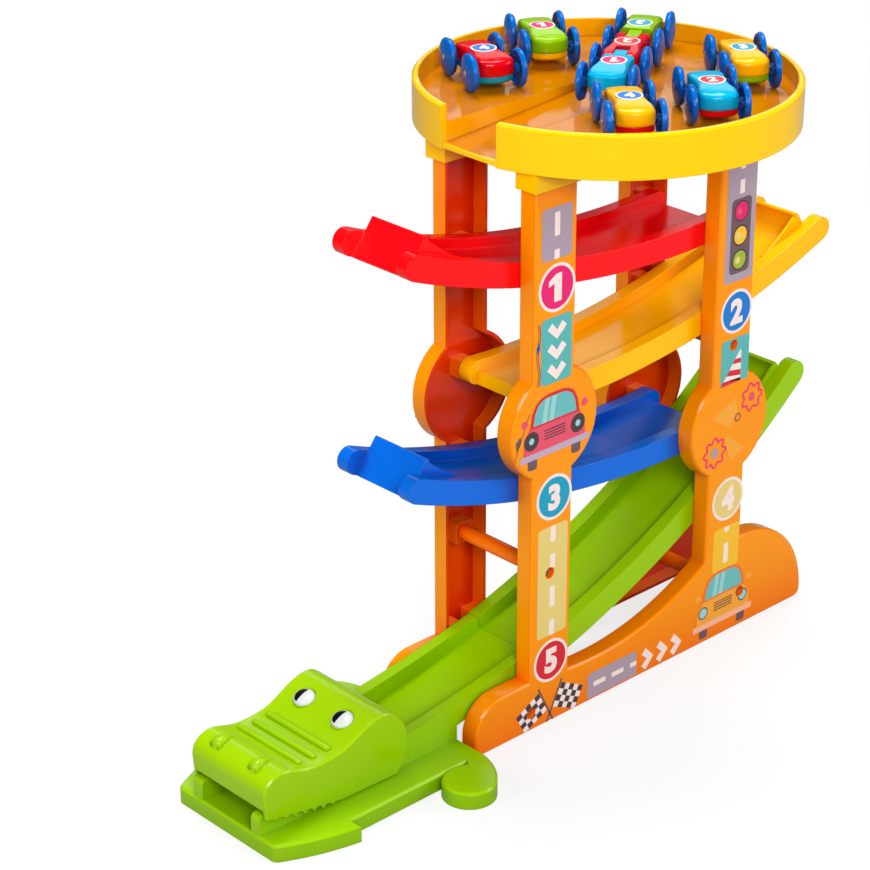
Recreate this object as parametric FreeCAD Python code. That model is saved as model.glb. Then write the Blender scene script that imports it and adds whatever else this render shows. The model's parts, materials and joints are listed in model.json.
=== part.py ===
import FreeCAD, Part
import math
import os

# Toy race track: a round parking deck on four posts, three ramps that tip the cars over from
# one to the next, a steep fourth ramp, and a crocodile whose mouth is the way out.
# Millimetres. X runs along the track with the mouth at -X, Y across it, Z up from the floor.
# X = 0 lies halfway between the front lip of the mouth and the rear end of the second ramp.

V = FreeCAD.Vector

# Working allowances: how far a fused piece runs into its neighbour, how far a cut runs past a
# face, a reach longer than the whole toy, and the slack for telling faces and edges by place
lap = 0.5
past = 1.0
far_off = 500.0
hair = 0.01

# Side frames
post_width = 28.0
left_post_x = -31.0
right_post_x = 98.0
frame_half_depth = 35.0
frame_depth = 9.5
frame_wall = 2.0
frame_edge_chamfer = 1.2
disc_radius = 29.5
disc_offset = 1.2
left_disc_z = 165.5
right_disc_z = 123.8
front_lobe_reach = 37.0
front_lobe_height = 28.3
front_lobe_round = 18.0
rear_lobe_radius = 50.0
rear_lobe_z = 5.0
rear_lobe_offset = 3.0
foot_round = 5.0
sill_left_z = 26.0
sill_low_z = 26.5
sill_low_share = 0.4
sill_right_z = 48.0

# Crossbars and the recesses for their screws, as places on the near face of a frame
crossbar_radius = 4.0
crossbar_places = {
    "middle": (-18.0, 85.7),
    "upper": (113.0, 168.6),
    "front": (-29.8, 10.5),
    "rear": (127.0, 21.4),
}
boss_wall = 1.4
recess_radius = 2.9
recess_depth = 3.4
boss_web = 1.8
crossbar_fit = 0.1

# Ramps
side_gap = 0.3
lane_half = 18.0
rail_wall = 1.8
floor_thickness = 2.2
end_wall_thickness = 2.2
end_wall_lean = 53.5
scoop_radius = 9.0
tenon_half_x = 2.5
tenon_half_z = 3.0
tenon_root_wall = 1.4
tenon_fit = 0.1
tenon_end_gap = 0.3
socket_wall = 1.6
rib_pitch = 52.0
rib_height = 4.0

flip_radius = 460.0
flip_low_x = 31.5
flip_low_z = 236.3
flip_depth = 12.5
flip_floor_drop = 5.5
flip_high_reach = 149.5
flip_low_reach = 70.1
flip_wall_inset = 5.8
flip_wall_length = 20.2
ramp_pitch = 55.5

last_radius = 475.7
last_low_x = 183.4
last_low_z = 23.1
last_depth = 14.0
last_floor_drop = 6.3
last_high_reach = 135.5
last_wall_inset = 4.5
last_wall_length = 17.0
seam_x = -14.0
seam_gap = 0.3
tongue_length = 7.0
tongue_gap = 0.7

# Deck
deck_x = 52.0
deck_radius = 93.9
deck_top_z = 317.5
deck_height = 21.5
deck_rim_rise = 8.5
deck_wall = 3.4
skirt_wall = 2.2
deck_chamfer = 1.1
lane_lip_rise = 2.9
lane_run = 138.9
socket_drop = 10.0
deck_socket_wall = 1.7
post_fit = 0.2

# Crocodile
plate_front_x = -197.0
plate_end_x = -70.6
plate_height = 9.0
plate_wall = 2.2
plate_half = 43.0
jaw_front_half = 35.4
jaw_rear_half = 50.0
jaw_rear_x = -156.0
foot_x = -91.8
foot_y = 55.5
foot_radius = 13.5
foot_turn = 50.0
foot_root_y = 44.0
plate_chamfer = 1.2
snout_round = 4.0
jaw_bow = 2.0
exit_rail_radius = 836.0
exit_rail_low_z = 19.0
exit_floor_radius = 711.0
exit_floor_low_z = 9.0
exit_rail_depth = 12.5
exit_rail_width = 6.4
exit_rail_front_x = -196.2
exit_nose = 3.0
jaw_lip = 22.0
mouth_gap = 0.4
head_half = 29.4
head_front_half = 27.2
head_wall = 2.2
head_edge_chamfer = 1.0
head_lift_gap = 0.9
head_pivot_x = -118.0
head_pivot_z = 24.0
head_pin_radius = 2.5
head_pin_fit = 0.06
head_side_gap = 0.3
ear_wall = 2.2
ear_root = 6.0
hub_wall = 2.0
jaw_back_reach = 31.0
heel_bulge = 5.0
heel_sink = 1.5
chin_back = 1.0
tooth_root = 0.8
tooth_half_share = 0.36
tooth_first_share = 0.55
tooth_growth = 0.05
tooth_gap = 0.4
jaw_z = 17.5
tooth_count = 8
tooth_height = 3.0
ridge_width = 3.4
ridge_rise = 1.4
ridge_sink = 1.2
ridge_half = 21.0
ridge_rear_x = -151.8
ridge_pitch = 8.75
ridge_count = 3
nostril_x = -187.8
nostril_y = 13.9
nostril_radius = 3.6
nostril_top_radius = 2.2
nostril_rise = 2.4
nostril_sink = 1.8
eye_x = -135.7
eye_y = 13.9
eye_radius = 6.1
eye_ball_radius = 11.0
eye_seat = 0.8
pupil_thickness = 0.35
pupil_share = 0.7

# Cars
wheel_radius = 9.5
wheel_width = 3.2
wheel_dome = 1.1
wheel_track = 25.2
axle_radius = 1.0
axle_fit = 0.05
wheelbase = 28.5
train_spacing = 31.0
car_ride = 0.15
shell_half = 9.2
waist_half = 7.3
nose_reach = 6.6
tail_reach = 5.4
chassis_z = 4.2
shell_z = 7.8
shell_top_z = 16.6
shell_end_z = 14.8
joint_wall = 1.6
cheek_length = 3.4
hip_length = 2.6
flank_run = 3.5
tail_step = 0.4
shell_chamfer = 1.4
chassis_inset = 0.4
chassis_chamfer = 1.2
tongue_half = 3.2
tongue_drop = 5.0
tongue_rise = 6.0
fork_gap = 0.4
joint_radius = 6.8
joint_gap = 0.3

mid_x = (left_post_x + right_post_x + post_width) / 2
left_post_mid = left_post_x + post_width / 2
right_post_mid = right_post_x + post_width / 2
frame_inner_y = frame_half_depth - frame_depth
plate_inner_y = frame_half_depth - frame_wall
rail_out = frame_inner_y - side_gap
tenon_end_y = plate_inner_y - tenon_end_gap
deck_low_z = deck_top_z - deck_height
deck_floor_z = deck_top_z - deck_rim_rise
lane_lip_z = deck_low_z + lane_lip_rise
lane_end_x = deck_x - deck_radius + lane_run
socket_low_z = deck_low_z - socket_drop
deck_under_z = deck_floor_z - floor_thickness
post_top_z = deck_under_z - post_fit
exit_rail_out = lane_half + exit_rail_width

# Where each car stands on the deck: the direction of its middle from the deck's centre, its
# distance in from the rim as a count of wheelbases, and the heading of its nose
car_spots = {
    "red_car": (124.6, 1.036, -112.0),
    "green_car": (77.1, 1.084, -121.0),
    "blue_car": (-82.7, 1.088, -126.0),
    "yellow_car": (-127.6, 1.012, -126.0),
    "amber_car": (-31.0, 0.823, -125.0),
}
train_spot = (23.5, 2.24, -148.0)


def box(x0, x1, y0, y1, z0, z1):
    return Part.makeBox(x1 - x0, y1 - y0, z1 - z0, V(x0, y0, z0))


def rod_y(radius, x, z, y0, y1):
    """A cylinder along Y between y0 and y1."""
    return Part.makeCylinder(radius, y1 - y0, V(x, y0, z), V(0, 1, 0))


def xz(x, z):
    return V(x, 0, z)


def line(a, b):
    return Part.LineSegment(a, b).toShape()


def arc(a, b, c):
    return Part.Arc(a, b, c).toShape()


def slab(edges, y0, y1):
    """The outline drawn in the XZ plane, as a solid between y0 and y1."""
    face = Part.Face(Part.Wire(edges))
    face.translate(V(0, y0, 0))
    return face.extrude(V(0, y1 - y0, 0))


def polygon(points):
    return [line(a, b) for a, b in zip(points, points[1:] + points[:1])]


def fused(shapes):
    body = shapes[0].fuse(shapes[1:]) if len(shapes) > 1 else shapes[0]
    return body.removeSplitter()


def both_sides(shape):
    """The shape and its mirror image across the track's centre plane."""
    return [shape, shape.mirror(V(0, 0, 0), V(0, 1, 0))]


def on_arc(centre, radius, angle):
    """The point at this angle from straight down, positive towards +X."""
    return V(centre.x + radius * math.sin(angle), 0, centre.z - radius * math.cos(angle))


def angle_at(centre, radius, x):
    return math.asin((x - centre.x) / radius)


def flat_band(centre, upper, lower, start, end):
    """Outline of a strip between two arcs below one centre, cut square at its ends."""
    middle = (start + end) / 2
    a = on_arc(centre, upper, start)
    b = on_arc(centre, upper, end)
    c = on_arc(centre, lower, end)
    d = on_arc(centre, lower, start)
    return [
        arc(a, on_arc(centre, upper, middle), b),
        line(b, c),
        arc(c, on_arc(centre, lower, middle), d),
        line(d, a),
    ]


def rail_outline(centre, upper, depth, start, end, round_low):
    """Side view of a rail: a strip with a full round nose at its start."""
    lower = upper + depth
    middle = (start + end) / 2
    half = depth / 2 / (upper + depth / 2)
    a = on_arc(centre, upper, start)
    b = on_arc(centre, upper, end)
    c = on_arc(centre, lower, end)
    d = on_arc(centre, lower, start)
    if round_low:
        low_end = arc(b, on_arc(centre, upper + depth / 2, end + half), c)
    else:
        low_end = line(b, c)
    return [
        arc(a, on_arc(centre, upper, middle), b),
        low_end,
        arc(c, on_arc(centre, lower, middle), d),
        arc(d, on_arc(centre, upper + depth / 2, start - half), a),
    ]


def first_crossing(point, direction, centre, radius):
    """How far along the line from the point it first meets the circle."""
    offset = point - centre
    along = direction.dot(offset)
    return -along - math.sqrt(along * along - offset.dot(offset) + radius * radius)


def end_wall(centre, upper, depth, floor_drop, wall_x, length):
    """The upturned end of a ramp: a leaning wall, its scoop, and a side web up to each rail."""
    foot = on_arc(centre, upper + depth, angle_at(centre, upper + depth, wall_x))
    lean = math.radians(end_wall_lean)
    up = xz(math.cos(lean), math.sin(lean))
    inward = xz(math.sin(lean), -math.cos(lean))
    top = foot + up * length
    inner_foot = foot + inward * end_wall_thickness
    inner_top = top + inward * end_wall_thickness
    crown = (top + inner_top) * 0.5 + up * (end_wall_thickness / 2)
    wall = slab([line(foot, top), arc(top, crown, inner_top), line(inner_top, inner_foot),
                 line(inner_foot, foot)], -lane_half, lane_half)
    floor = upper + floor_drop
    start = foot + inward * (end_wall_thickness + scoop_radius)
    hub = start + up * first_crossing(start, up, centre, floor - scoop_radius)
    on_wall = hub - inward * scoop_radius
    away = (hub - centre).normalize()
    on_floor = hub + away * scoop_radius
    corner = inner_foot + up * first_crossing(inner_foot, up, centre, floor + floor_thickness / 2)
    under = on_floor + away * (floor_thickness / 2)
    bend = hub + (corner - hub).normalize() * scoop_radius
    scoop = slab([line(on_wall, corner), line(corner, under), line(under, on_floor),
                  arc(on_floor, bend, on_wall)], -lane_half, lane_half)
    web_foot = on_arc(centre, upper + rail_wall / 2, angle_at(centre, upper, wall_x + length * 1.9))
    dip = on_arc(centre, upper - length * 0.12, angle_at(centre, upper, wall_x + length * 1.15))
    low = on_arc(centre, upper + depth / 2, angle_at(centre, upper, wall_x + length * 0.5))
    web_top = (top + inner_top) * 0.5
    web = slab([arc(web_top, dip, web_foot), line(web_foot, low), line(low, web_top)],
               lane_half - rail_wall, lane_half)
    return fused([wall, scoop] + both_sides(web)), corner.x


def rail_pair(outline, pocket, y_out):
    """A mirrored pair of rails, each moulded hollow from below."""
    rail = slab(outline, lane_half, y_out)
    rail = rail.cut(slab(pocket, lane_half + rail_wall, y_out - rail_wall))
    return both_sides(rail)


def block_xz(x, z, half_x, half_z, y0, y1):
    """A block between y0 and y1 about a centre line along Y."""
    return box(x - half_x, x + half_x, y0, y1, z - half_z, z + half_z)


def tenon_block(x, z, grow, y0, y1):
    """A block larger than a tenon by grow all round."""
    return block_xz(x, z, tenon_half_x + grow, tenon_half_z + grow, y0, y1)


def tenon(x, z, y_out):
    """A square tenon on the outside of a rail, with its root through the hollow rail."""
    root = tenon_block(x, z, tenon_root_wall, lane_half + rail_wall / 2, y_out - rail_wall / 2)
    tip = tenon_block(x, z, 0, y_out - rail_wall / 2, tenon_end_y)
    return root.fuse(tip)


def ramp(low_x, low_z, radius, depth, floor_drop, high_reach, low_reach, wall_inset,
         wall_length, tenon_xs, round_low):
    """One ramp drawn with its high end at -X, and with the X of the frame's middle as zero."""
    centre = xz(low_x, low_z + radius)
    upper = radius
    lower = radius + depth
    nose = depth / 2
    start = angle_at(centre, upper + nose, nose - high_reach)
    end_x = low_reach - nose if round_low else low_reach
    end = angle_at(centre, upper + nose, end_x)
    inset = rail_wall / radius
    floor = upper + floor_drop
    wall, floor_x = end_wall(centre, upper, depth, floor_drop, wall_inset - high_reach, wall_length)
    pocket = flat_band(centre, upper + rail_wall, lower + nose, start, end - inset)
    rails = rail_pair(rail_outline(centre, upper, depth, start, end, round_low), pocket, rail_out)
    floor_start = angle_at(centre, floor, floor_x)
    floor_band = flat_band(centre, floor, floor + floor_thickness, floor_start, end)
    pieces = [wall] + rails + [slab(floor_band, -lane_half - rail_wall / 2, lane_half + rail_wall / 2)]
    lip = flat_band(centre, floor, lower, end - inset, end)
    if round_low:
        pieces.append(slab(lip, -lane_half - rail_wall / 2, lane_half + rail_wall / 2))
    for count in range(1, int((low_reach + high_reach) / rib_pitch)):
        turn = end - count * rib_pitch / radius
        rib = flat_band(centre, floor + floor_thickness / 2, floor + rib_height, turn, turn + inset)
        if turn > floor_start + 3 * inset:
            pieces.append(slab(rib, -lane_half - rail_wall / 2, lane_half + rail_wall / 2))
    for x in tenon_xs:
        place = on_arc(centre, upper + nose, angle_at(centre, upper + nose, x))
        pieces += both_sides(tenon(place.x, place.z, rail_out))
    return fused(pieces)


def flip_tenon_z(x, level):
    """Height of a tenon of a tipping ramp, for x counted from the middle of the frame."""
    nose = flip_depth / 2
    centre_z = flip_low_z + flip_radius
    turn = math.asin((x - flip_low_x) / (flip_radius + nose))
    return centre_z - (flip_radius + nose) * math.cos(turn) - level * ramp_pitch


def last_tenon_z(x):
    """Height of a tenon of the fourth ramp, which is drawn turned end for end."""
    nose = last_depth / 2
    turn = math.asin((-x - last_low_x) / (last_radius + nose))
    return last_low_z + last_radius - (last_radius + nose) * math.cos(turn)


def exit_rail_z(x):
    """Top of the exit track's rails, an arc that ends level at the mouth."""
    run = x - exit_rail_front_x
    return exit_rail_low_z + exit_rail_radius - math.sqrt(exit_rail_radius ** 2 - run ** 2)


def exit_floor_z(x):
    run = x - exit_rail_front_x
    return exit_floor_low_z + exit_floor_radius - math.sqrt(exit_floor_radius ** 2 - run ** 2)


half_span = (right_post_mid - left_post_mid) / 2
last_tenon_xs = (left_post_x + post_width * 0.78, right_post_mid)
exit_tenon_x = left_post_x + post_width * 0.22
exit_tenon_z = exit_rail_z(exit_tenon_x) - exit_rail_depth / 2


def tenon_places():
    """Centre of every tenon that a side frame holds, as (x, z)."""
    places = []
    for level, turn in ((0, 1), (1, -1), (2, 1)):
        for x in (-half_span, half_span):
            places.append((mid_x + turn * x, flip_tenon_z(x, level)))
    for x in last_tenon_xs:
        places.append((x, last_tenon_z(x - mid_x)))
    places.append((exit_tenon_x, exit_tenon_z))
    return places


def frame_face():
    """The whole outline of a side frame: two posts, two discs and the base."""
    left_x1 = left_post_x + post_width
    right_x1 = right_post_x + post_width
    lobe_x = left_post_x - front_lobe_reach
    lobe_mid = xz(lobe_x + front_lobe_round, front_lobe_height - front_lobe_round)
    slope = math.sqrt(0.5)
    lobe_turn = lobe_mid + xz(-slope, slope) * front_lobe_round
    toe_mid = xz(lobe_x + foot_round, foot_round)
    toe_turn = toe_mid + xz(-slope, -slope) * foot_round
    rear_mid = xz(right_x1 + rear_lobe_offset, rear_lobe_z)
    rear_x = rear_mid.x + rear_lobe_radius
    rear_turn = rear_mid + xz(slope, slope) * rear_lobe_radius
    rear_top = xz(rear_mid.x, rear_lobe_z + rear_lobe_radius)
    heel_mid = xz(rear_x - foot_round, foot_round)
    heel_turn = heel_mid + xz(slope, -slope) * foot_round
    sill_mid = xz(left_x1 + (right_post_x - left_x1) * sill_low_share, sill_low_z)
    base = Part.Face(Part.Wire([
        line(xz(toe_mid.x, 0), xz(heel_mid.x, 0)),
        arc(xz(heel_mid.x, 0), heel_turn, xz(rear_x, rear_lobe_z)),
        arc(xz(rear_x, rear_lobe_z), rear_turn, rear_top),
        line(rear_top, xz(right_post_x + lap, rear_top.z)),
        line(xz(right_post_x + lap, rear_top.z), xz(right_post_x, sill_right_z)),
        arc(xz(right_post_x, sill_right_z), sill_mid, xz(left_x1, sill_left_z)),
        line(xz(left_x1, sill_left_z), xz(left_x1 - lap, front_lobe_height)),
        line(xz(left_x1 - lap, front_lobe_height), xz(lobe_mid.x, front_lobe_height)),
        arc(xz(lobe_mid.x, front_lobe_height), lobe_turn, xz(lobe_x, lobe_mid.z)),
        line(xz(lobe_x, lobe_mid.z), xz(lobe_x, toe_mid.z)),
        arc(xz(lobe_x, toe_mid.z), toe_turn, xz(toe_mid.x, 0)),
    ]))
    faces = [base]
    for post_x, disc_x, disc_z in (
        (left_post_x, left_post_mid + disc_offset, left_disc_z),
        (right_post_x, right_post_mid + disc_offset, right_disc_z),
    ):
        foot_z = post_width / 2
        corners = [xz(post_x, foot_z), xz(post_x + post_width, foot_z),
                   xz(post_x + post_width, post_top_z), xz(post_x, post_top_z)]
        faces.append(Part.Face(Part.Wire(polygon(corners))))
        ring = Part.Circle(xz(disc_x, disc_z), V(0, 1, 0), disc_radius).toShape()
        faces.append(Part.Face(Part.Wire([ring])))
    whole = fused([face.extrude(V(0, 1, 0)) for face in faces])
    return [f for f in whole.Faces if f.BoundBox.YMax < hair][0]


def side_frame():
    """The far side frame, a tray whose open side faces the track."""
    face = frame_face()
    face.translate(V(0, frame_inner_y, 0))
    body = face.extrude(V(0, frame_depth, 0))
    rim = [e for e in body.Edges if e.BoundBox.YMin > frame_half_depth - hair]
    body = body.makeChamfer(frame_edge_chamfer, rim)
    inner = frame_face().makeOffset2D(-frame_wall)
    inner.translate(V(0, frame_inner_y - past, 0))
    body = body.cut(inner.extrude(V(0, plate_inner_y - frame_inner_y + past, 0)))
    extras = []
    cuts = []
    recess_end_y = frame_half_depth - recess_depth
    web_end_y = recess_end_y - boss_web
    for x, z in crossbar_places.values():
        seat = crossbar_radius + crossbar_fit
        boss = seat + boss_wall
        extras.append(block_xz(x, z, boss, boss, frame_inner_y, plate_inner_y + lap))
        cuts.append(rod_y(recess_radius, x, z, recess_end_y, frame_half_depth + past))
        cuts.append(rod_y(seat, x, z, frame_inner_y - past, web_end_y))
    for x, z in tenon_places():
        extras.append(tenon_block(x, z, tenon_fit + socket_wall, frame_inner_y, plate_inner_y + lap))
        cuts.append(tenon_block(x, z, tenon_fit, frame_inner_y - past, plate_inner_y))
    body = body.fuse(extras)
    return body.cut(cuts).removeSplitter()


def crossbar(x, z):
    """A round bar between the frames."""
    end_y = frame_half_depth - recess_depth - boss_web - crossbar_fit
    return rod_y(crossbar_radius, x, z, -end_y, end_y)


def deck_disc(radius, z0, z1):
    return Part.makeCylinder(radius, z1 - z0, V(deck_x, 0, z0))


def deck_lane():
    """What is cut away above the sunk lane, what below it, and the gap in the rim it leaves by."""
    start_x = deck_x - math.sqrt(deck_radius ** 2 - lane_half ** 2)
    open_x = deck_x - deck_radius - past
    top_z = deck_top_z + past
    low_z = deck_low_z - past
    lip_under_z = lane_lip_z - floor_thickness
    above = [xz(open_x, lane_lip_z), xz(start_x, lane_lip_z), xz(lane_end_x, deck_floor_z),
             xz(lane_end_x, top_z), xz(open_x, top_z)]
    below = [xz(open_x, low_z), xz(lane_end_x - floor_thickness, low_z),
             xz(lane_end_x - floor_thickness, deck_under_z), xz(start_x + floor_thickness, lip_under_z),
             xz(open_x, lip_under_z)]
    return [slab(polygon(above), -lane_half, lane_half), slab(polygon(below), -lane_half, lane_half),
            box(open_x, start_x, -lane_half, lane_half, low_z, top_z)]


def deck_sockets():
    """The four sockets under the deck that take the posts, as blocks and as the bores in them."""
    blocks = []
    bores = []
    for post_x in (left_post_x, right_post_x):
        for wall, low_z, high_z, group in (
            (deck_socket_wall, socket_low_z, deck_under_z + lap, blocks),
            (0, socket_low_z - past, deck_under_z, bores),
        ):
            grow = wall + post_fit
            group += both_sides(box(post_x - grow, post_x + post_width + grow, frame_inner_y - grow,
                                    frame_half_depth + grow, low_z, high_z))
    return blocks, bores


def deck():
    """The round parking deck: a rimmed tray with a sunk lane out to its gap, on four sockets."""
    body = deck_disc(deck_radius, deck_low_z, deck_top_z)
    body = body.cut([
        deck_disc(deck_radius - deck_wall, deck_floor_z, deck_top_z + past),
        deck_disc(deck_radius - skirt_wall, deck_low_z - past, deck_under_z),
    ])
    rim = [e for e in body.Edges if e.BoundBox.ZMin > deck_top_z - hair
           and e.BoundBox.XLength > 2 * deck_radius - deck_wall]
    body = body.makeChamfer(deck_chamfer, rim)
    wall_end = lane_half + skirt_wall
    lane_sides = box(deck_x - deck_radius, lane_end_x, -wall_end, wall_end, deck_low_z, deck_under_z + lap)
    blocks, bores = deck_sockets()
    body = body.fuse([lane_sides.common(deck_disc(deck_radius, deck_low_z, deck_top_z))] + blocks)
    return body.cut(deck_lane() + bores).removeSplitter()


def jaw_face(inset):
    """Plan of the crocodile's base plate with its flared lower jaw, without the feet."""
    front_x = plate_front_x + inset
    jaw_x = jaw_rear_x - inset
    flare = (jaw_front_half + jaw_rear_half) / 2 + jaw_bow - inset
    edges = []
    for side in (1, -1):
        snout = V(front_x, side * (jaw_front_half - inset), 0)
        jaw = V(jaw_x, side * (jaw_rear_half - inset), 0)
        neck = V(jaw_x, side * (plate_half - inset), 0)
        end = V(plate_end_x - inset, side * (plate_half - inset), 0)
        edges += [
            line(V(front_x, 0, 0), snout),
            arc(snout, V((front_x + jaw_x) / 2, side * flare, 0), jaw),
            line(jaw, neck),
            line(neck, end),
            line(end, V(end.x, 0, 0)),
        ]
    return Part.Face(Part.Wire(Part.__sortEdges__(edges)))


def heel_face(inset):
    """Plan of the part of a foot that runs on from its round front to the end of the plate."""
    turn = math.radians(foot_turn)
    outward = V(math.cos(turn), math.sin(turn), 0)
    foot = V(foot_x, foot_y, 0)
    chord = foot + outward * foot_radius - V(plate_end_x, foot_root_y, 0)
    radius = chord.dot(chord) / (2 * chord.dot(outward))
    hub = foot + outward * (foot_radius - radius)
    reach = radius - inset
    end_x = plate_end_x - inset
    end_turn = math.acos((end_x - hub.x) / reach)
    middle = (turn + end_turn) / 2
    joint = hub + outward * reach
    bend = hub + V(math.cos(middle), math.sin(middle), 0) * reach
    end = hub + V(math.cos(end_turn), math.sin(end_turn), 0) * reach
    root = V(end_x, foot_root_y - foot_radius, 0)
    edges = [arc(joint, bend, end), line(end, root), line(root, foot), line(foot, joint)]
    return Part.Face(Part.Wire(edges))


def plate():
    """The base plate with its feet, a shallow tray turned over, with broken upper edges."""
    top = plate_height - hair
    jaw = prism(jaw_face(0), 0, plate_height)
    corners = [e for e in jaw.Edges if e.BoundBox.ZLength > top and e.BoundBox.XMax < plate_front_x + past]
    jaw = jaw.makeFillet(snout_round, corners)
    jaw = jaw.makeChamfer(plate_chamfer, [e for e in jaw.Edges if e.BoundBox.ZMin > top])
    disc = Part.makeCylinder(foot_radius, plate_height, V(foot_x, foot_y, 0))
    disc = disc.makeChamfer(plate_chamfer, [e for e in disc.Edges if e.BoundBox.ZMin > top])
    heel = prism(heel_face(0), 0, plate_height)
    outer = [e for e in heel.Edges if e.BoundBox.ZMin > top and e.BoundBox.XMax > plate_end_x - hair
             and (e.BoundBox.XLength < hair or e.BoundBox.YMin > foot_root_y - hair)]
    heel = heel.makeChamfer(plate_chamfer, outer)
    body = jaw.fuse(both_sides(disc) + both_sides(heel))
    room_z = plate_height - plate_wall
    hollow_disc = Part.makeCylinder(foot_radius - plate_wall, room_z + past, V(foot_x, foot_y, -past))
    rooms = [prism(jaw_face(plate_wall), -past, room_z)]
    rooms += both_sides(hollow_disc) + both_sides(prism(heel_face(plate_wall), -past, room_z))
    return body.cut(rooms)


def past_seam():
    """All that lies on the fourth ramp's side of the seam, which is cut square to that ramp."""
    across = last_low_x - (mid_x - seam_x)
    turn = math.asin(across / (last_radius + last_depth / 2))
    block = box(0, far_off, -far_off, far_off, -far_off, far_off)
    block.rotate(V(0, 0, 0), V(0, 1, 0), -math.degrees(turn))
    block.translate(xz(seam_x - seam_gap, last_tenon_z(seam_x - mid_x)))
    return block


def exit_rail(end_x):
    """One rail of the exit track, and the hollow in it from below."""
    top_mid_x = (exit_rail_front_x + end_x) / 2
    front_top = xz(exit_rail_front_x + exit_nose, exit_rail_low_z)
    plate_level = plate_height - plate_wall
    nose_foot = xz(exit_rail_front_x, front_top.z - exit_nose)
    nose_mid = front_top + xz(-math.sqrt(0.5), math.sqrt(0.5) - 1) * exit_nose
    end_low = xz(end_x, exit_rail_z(end_x) - exit_rail_depth)
    plate_low = xz(plate_end_x, exit_rail_z(plate_end_x) - exit_rail_depth)
    outline = [
        arc(front_top, xz(top_mid_x, exit_rail_z(top_mid_x)), xz(end_x, exit_rail_z(end_x))),
        line(xz(end_x, exit_rail_z(end_x)), end_low),
        line(end_low, plate_low),
        line(plate_low, xz(plate_end_x, plate_level)),
        line(xz(plate_end_x, plate_level), xz(exit_rail_front_x, plate_level)),
        line(xz(exit_rail_front_x, plate_level), nose_foot),
        arc(nose_foot, nose_mid, front_top),
    ]
    x0 = exit_rail_front_x + exit_rail_width
    x1 = seam_x - 2 * rail_wall
    pocket = [
        arc(xz(x0, exit_rail_z(x0) - rail_wall), xz(top_mid_x, exit_rail_z(top_mid_x) - rail_wall),
            xz(x1, exit_rail_z(x1) - rail_wall)),
        line(xz(x1, exit_rail_z(x1) - rail_wall), xz(x1, -past)),
        line(xz(x1, -past), xz(x0, -past)),
        line(xz(x0, -past), xz(x0, exit_rail_z(x0) - rail_wall)),
    ]
    return (slab(outline, lane_half, exit_rail_out),
            slab(pocket, lane_half + rail_wall, exit_rail_out - rail_wall))


def exit_floor(end_x, half):
    """The floor of the exit track."""
    front_x = exit_rail_front_x
    mid = (front_x + end_x) / 2
    thick = floor_thickness
    return slab([
        arc(xz(front_x, exit_floor_z(front_x)), xz(mid, exit_floor_z(mid)), xz(end_x, exit_floor_z(end_x))),
        line(xz(end_x, exit_floor_z(end_x)), xz(end_x, exit_floor_z(end_x) - thick)),
        arc(xz(end_x, exit_floor_z(end_x) - thick), xz(mid, exit_floor_z(mid) - thick),
            xz(front_x, exit_floor_z(front_x) - thick)),
        line(xz(front_x, exit_floor_z(front_x) - thick), xz(front_x, exit_floor_z(front_x))),
    ], -half, half)


def seam_tongue():
    """The step under the seam that the end of the fourth ramp rests over."""
    half = lane_half - floor_thickness
    top_z = exit_floor_z(seam_x) - floor_thickness - tongue_gap
    low_z = top_z - floor_thickness
    step = box(seam_x - tongue_length, seam_x + tongue_length, -half, half, low_z, top_z)
    root = box(seam_x - tongue_length, seam_x - floor_thickness, -half, half,
               low_z, exit_floor_z(seam_x - tongue_length) - floor_thickness / 2)
    return step.fuse(root)


def crocodile_base():
    """Plate, feet and exit track of the crocodile, moulded in one."""
    end_x = seam_x + floor_thickness
    rail, pocket = exit_rail(end_x)
    floor = exit_floor(end_x, lane_half + rail_wall / 2)
    well = box(plate_front_x + jaw_lip, plate_end_x - plate_wall, -lane_half + lap, lane_half - lap,
               -past, plate_height)
    body = plate().cut(well.cut(floor)).fuse([floor] + both_sides(rail))
    body = body.cut([past_seam()] + both_sides(pocket))
    pads = both_sides(tenon(exit_tenon_x, exit_tenon_z, exit_rail_out)) + both_sides(head_lug())
    return body.fuse([seam_tongue()] + pads).removeSplitter()


def head_lug():
    """The ear on top of an exit rail that carries the head's hinge pin."""
    ear_radius = head_pin_radius + ear_wall
    y0 = exit_rail_out - rail_wall
    ear = rod_y(ear_radius, head_pivot_x, head_pivot_z, y0, exit_rail_out)
    stem = box(head_pivot_x - ear_radius, head_pivot_x + ear_radius, y0, exit_rail_out,
               exit_rail_z(head_pivot_x) - ear_root, head_pivot_z)
    pin = rod_y(head_pin_radius, head_pivot_x, head_pivot_z, exit_rail_out - past,
                head_half - head_wall - head_side_gap)
    return ear.fuse([stem, pin])


head_top = [
    (-112.0, 39.5), (-123.0, 45.8), (-136.0, 42.0), (-147.0, 36.8), (-160.0, 35.2),
    (-172.0, 36.4), (-185.0, 39.6), (-192.5, 36.3), (-194.8, 29.5),
]


def top_curve(drop):
    """The crocodile's profile from the back of its head to its snout, lowered by a wall."""
    curve = Part.BSplineCurve()
    curve.interpolate([xz(x, z - drop) for x, z in head_top])
    return curve


def top_z(x):
    """Height of the head's top surface at x."""
    cut = top_curve(0).intersect(Part.LineSegment(xz(x, -far_off), xz(x, far_off)))
    return max(p.Z for p in cut)


def head_plan(inset):
    """A tall block with the plan of the head, which narrows a little towards the snout."""
    back_x = head_top[0][0]
    front_x = head_top[-1][0]
    narrowing = (head_half - head_front_half) / (back_x - front_x)
    reach = head_half
    corners = []
    for x, side in ((back_x + reach, 1), (front_x - reach, 1), (front_x - reach, -1), (back_x + reach, -1)):
        corners.append(V(x, side * (head_half - inset - narrowing * (back_x - x)), 0))
    return prism(Part.Face(Part.Wire(polygon(corners))), -past, 2 * head_half)


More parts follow.
